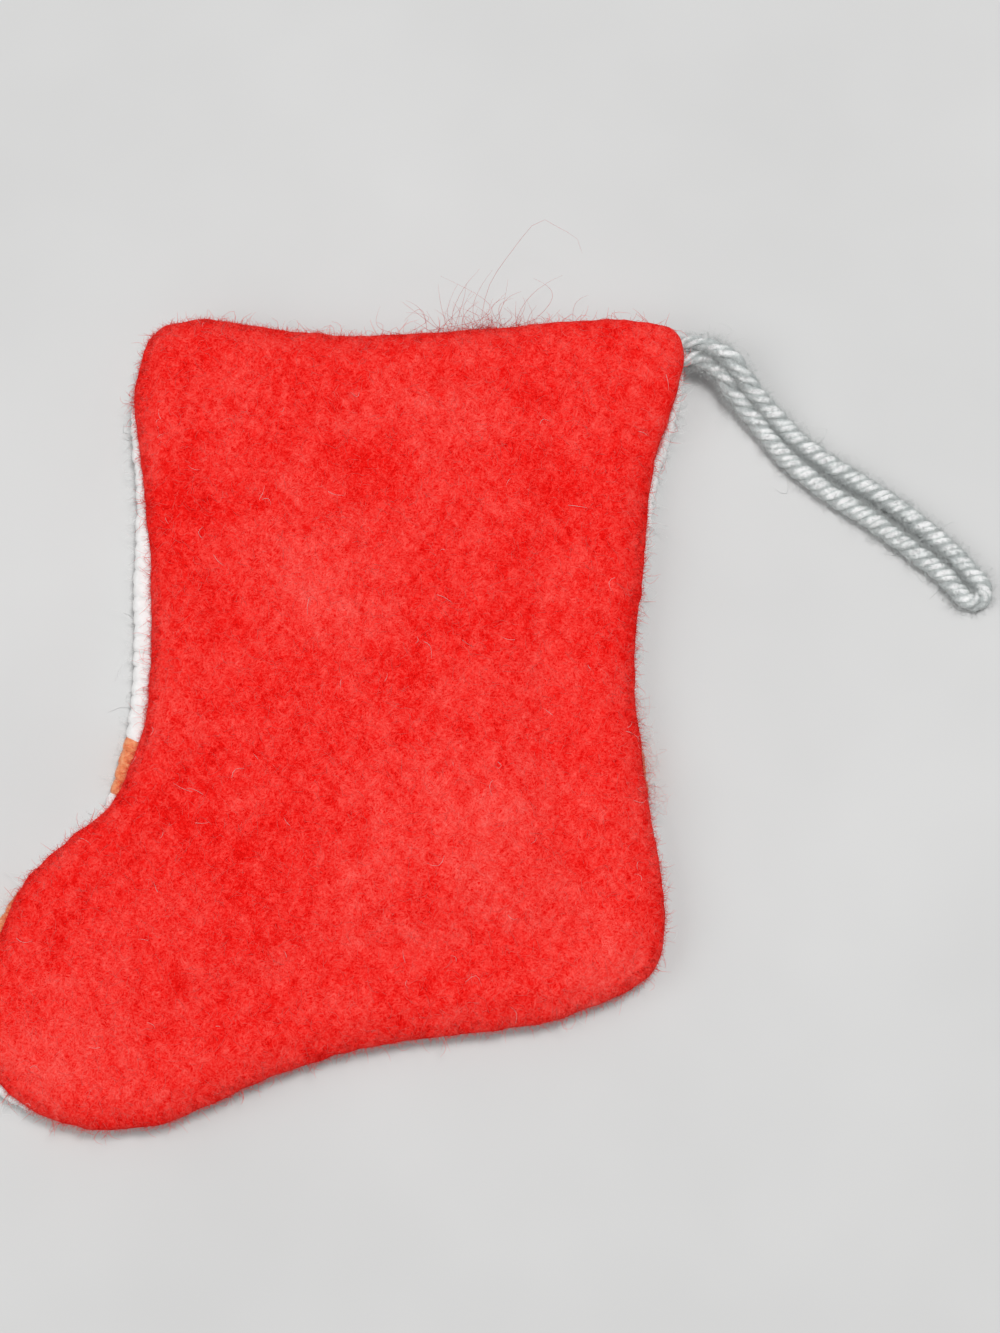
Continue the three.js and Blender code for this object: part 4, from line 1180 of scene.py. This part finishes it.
def seam_thread():
    """Whip stitches that hold the felt to the front, all round but for the mouth."""
    path = inside_front(SEAM_INSET, step=0.25)
    back = path[:, 0] > BAND_MIDDLE[0]
    start = np.argmax(back & (path[:, 1] < Y_MOUTH - SEAM_BACK_DROP))
    path, back = np.roll(path, -start, axis=0), np.roll(back, -start)
    path = path[path[:, 1] < Y_MOUTH - np.where(back, SEAM_BACK_DROP, SEAM_FRONT_DROP)]
    run = run_along(path)
    way = tangents(path)
    side = np.column_stack([-way[:, 1], way[:, 0]])
    turn = 2 * math.pi * run / SEAM_PITCH
    flat = path + side * (SEAM_SWAY * np.sin(turn))[:, None]
    line = np.column_stack([flat, SEAM_HEIGHT + SEAM_SWAY * np.cos(turn)])
    thread_piece("whip_stitched_seam", line, "seam_thread")


def tack_thread():
    """Turns of thread that tack the yarn's tied ends to the hem."""
    t = np.linspace(0, 1, num=16 * TACK_TURNS)
    turn = 2 * math.pi * TACK_TURNS * t
    height = TACK_BOTTOM + THREAD_RADIUS + t * (TACK_TOP - TACK_BOTTOM - 2 * THREAD_RADIUS)
    line = arc((*TACK_PLACE, height), TACK_RADIUS, turn)
    thread_piece("tack_stitches", line, "hanger_tack")


# Hanging yarn
def arc(middle, radius, turn):
    """Points round a middle, at each turn in radians and at one height or a height for each."""
    x, y, z = middle
    heights = np.broadcast_to(z, len(turn))
    return np.column_stack([x + radius * np.cos(turn), y + radius * np.sin(turn), heights])


def yarn_line():
    """The yarn's middle line from one tied end to the other, with its share of full thickness."""
    root = [(*(TACK_PLACE + reach * ROOT_WAY + bow * ROOT_SIDE), ROOT_HEIGHT) for reach, bow in ROOT_ROUTE]
    loop = [(HINGE_PLACE[0] + x, HINGE_PLACE[1] + y, ROOT_HEIGHT + fall * (LOOP_HEIGHT - ROOT_HEIGHT))
            for x, y, fall in LOOP_ROUTE]
    middle = spaced(spline(root + loop), YARN_STEP)
    run = run_along(middle)
    way = tangents(middle)
    side = unit(np.column_stack([-way[:, 1], way[:, 0], np.zeros(len(way))]))
    beside = PRESSED_REACH - PRESSED_DRAW_IN * smoothstep(run, *DRAW_IN_RUN)
    apart = LEG_SPREAD * hump(run, SPREAD_RUN, SPREAD_END_RUN)
    reach = beside + (LEG_REACH - beside) * smoothstep(run, *PART_RUN) + apart
    over = LEG_OVERLAP * hump(run, OVERLAP_RUN, OVERLAP_END_RUN)
    offset = side * reach[:, None] + over[:, None] * UP
    legs = [(middle + sign * offset)[LEG_SKIP:] for sign in (1, -1)]
    tip_turn = math.atan2(way[-1, 1], way[-1, 0])
    fold_turn = np.linspace(math.pi / 2, -math.pi / 2, num=17)[1:-1] + tip_turn
    fold = arc(middle[-1], LEG_REACH, fold_turn)
    root_turn = math.radians(ROOT_ANGLE)
    knot_turn = root_turn + np.linspace(*np.radians(KNOT_SWEEP), num=6)
    tack = (*TACK_PLACE, ROOT_HEIGHT)
    knots = [arc(tack, KNOT_LINE_RADIUS, turn) for turn in (knot_turn, 2 * root_turn - knot_turn)]
    line = np.vstack([knots[0], legs[0], fold, legs[1][::-1], knots[1][::-1]])
    line = spaced(spline(line[::LINE_THINNING], fineness=12), YARN_STEP)
    from_tack = np.linalg.norm(line[:, :2] - TACK_PLACE, axis=1)
    thick = PRESSED_THICKNESS + (1 - PRESSED_THICKNESS) * smoothstep(from_tack, *THICKEN_RUN)
    return line, from_tack, thick


def hanging_yarn():
    """Plied yarn: four strands laid round one line, with loose hairs and a painted highlight on the strands'
    tops.
    """
    line, from_tack, thick = yarn_line()
    run = run_along(line)
    way = tangents(line)
    side = unit(np.cross(UP, way))
    up = np.cross(way, side)
    lay = ROOT_LAY + (YARN_LAY - ROOT_LAY) * smoothstep(from_tack, *LAY_CHANGE)
    turn = 2 * math.pi * np.cumsum(np.gradient(run) / lay)
    rng = np.random.default_rng(seed=89)
    paths = []
    for angle in STRAND.angles:
        sway = turn + math.radians(angle) + STRAND.sway[0] * np.sin(run / STRAND.sway[1] + angle)
        out = side * np.sin(sway)[:, None] + up * np.cos(sway)[:, None]
        ring = 1 + sum(height * np.sin(run / length + lag * angle) for height, length, lag in RING_WAVES)
        paths.append(line + out * (STRAND.ring * thick * ring)[:, None])
    paths = np.array(paths)
    strand_way = tangents(paths)
    out = unit(paths - line[None])
    across = squared(out, strand_way)
    along = np.cross(strand_way, across)
    angles = round_angles(STRAND.sides)
    phase = rng.uniform(0, 2 * math.pi, (len(paths), 1, 1))
    place = run[None, :, None]
    puff = 1 + sum(height * np.sin(place / length + lag * phase) for height, length, lag in PUFF_WAVES)
    ply_height, ply_length = PLY_WAVE
    swell = puff + ply_height * np.cos(PLY_COUNT * angles - 2 * math.pi * place / ply_length + phase)
    radius = (STRAND.radius * thick)[None, :, None]
    points, faces = sweep(paths, across * radius, along * radius, STRAND.sides, swell)
    points[:, 2] = np.maximum(points[:, 2], 0)
    # Painted highlight on each strand's top, stronger where the strand faces up and broken into patches
    off_crest = (angles + math.pi) % (2 * math.pi) - math.pi
    patch_height, patch_step = PATCH_WAVE
    patches = np.sin(place / patch_step + 2 * phase) * np.sin(place / PATCH_LENGTH + phase)
    painted_top_light = smoothstep(out[..., 2:], *PAINTED_TOP_LIGHT_SPAN)
    crest = np.exp(-((off_crest / STRAND.crest) ** 2)) * painted_top_light * (1 + patch_height * patches)
    yarn = build_mesh("hanging_yarn", points, faces, GREY_WOOL, crest.ravel())

    free = np.flatnonzero(from_tack > HAIR.start)
    hair_count = YARN_HAIRS + GAP_HAIRS
    pick = rng.choice(free, hair_count)
    spin = rng.uniform(0, 2 * math.pi, hair_count)
    spin[YARN_HAIRS:] = rng.normal(math.radians(GAP_HAIR.angle), GAP_HAIR.spread, GAP_HAIRS)
    out = side[pick] * np.cos(spin)[:, None] + up[pick] * np.sin(spin)[:, None]
    roots = line[pick] + out * YARN_DIAMETER * HAIR.depth
    ways = unit(out + way[pick] * rng.normal(0, HAIR.lean, (hair_count, 1)))
    lengths = HAIR.shortest + rng.gamma(*HAIR.length, hair_count)
    hairs = fibre_paths(roots, ways, lengths, HAIR.curl, rng)
    fuzz = fibre_mesh("hanging_yarn_fuzz", hairs, HAIR_RADIUS, GREY_HAIR)

    for piece in (yarn, fuzz):
        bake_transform(piece)
    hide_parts("hanger_root", "hanger_loop")


# Camera, light and floor
def set_camera():
    angle = math.radians(VIEW_ELEVATION)
    target = Vector(VIEW_TARGET) * MM
    back = Vector((0, -math.cos(angle), math.sin(angle)))
    data = bpy.data.cameras.new("camera")
    data.sensor_width = SENSOR_SIZE
    data.lens = SENSOR_SIZE * VIEW_FOCAL_PIXELS / VIEW_HEIGHT_PIXELS
    data.clip_start = CLIP_START
    camera = add_object("camera", data)
    camera.location = target + back * VIEW_DISTANCE * MM
    camera.rotation_quaternion = (-back).to_track_quat("-Z", "Y")
    bpy.context.scene.camera = camera


def set_light():
    world = bpy.data.worlds.new("studio")
    world.use_nodes = True
    background = world.node_tree.nodes["Background"]
    background.inputs["Color"].default_value = (1, 1, 1, 1)
    background.inputs["Strength"].default_value = WORLD_STRENGTH
    bpy.context.scene.world = world
    for name, (place, size, power) in LAMPS.items():
        data = bpy.data.lights.new(name, "AREA")
        data.size = size
        data.energy = power
        light = add_object(name, data)
        light.location = place
        light.rotation_quaternion = Vector(place).to_track_quat("Z", "Y")


def set_floor():
    corners = np.array([[-1, -1, 0], [1, -1, 0], [1, 1, 0], [-1, 1, 0]])
    floor_points = corners * FLOOR_SIZE / 2 / MM
    floor_points[:, 2] = -FLOOR_DROP
    floor = build_mesh("floor", floor_points, [np.array([[0, 1, 2, 3]])], floor_material())


set_camera()
set_light()
set_floor()
hanging_yarn()
felt_back()
overcast_edge()
edge_fuzz()
heel_tuft()
tent_stitches()
front_canvas()
seam_thread()
tack_thread()

bpy.context.scene.view_settings.view_transform = "Standard"
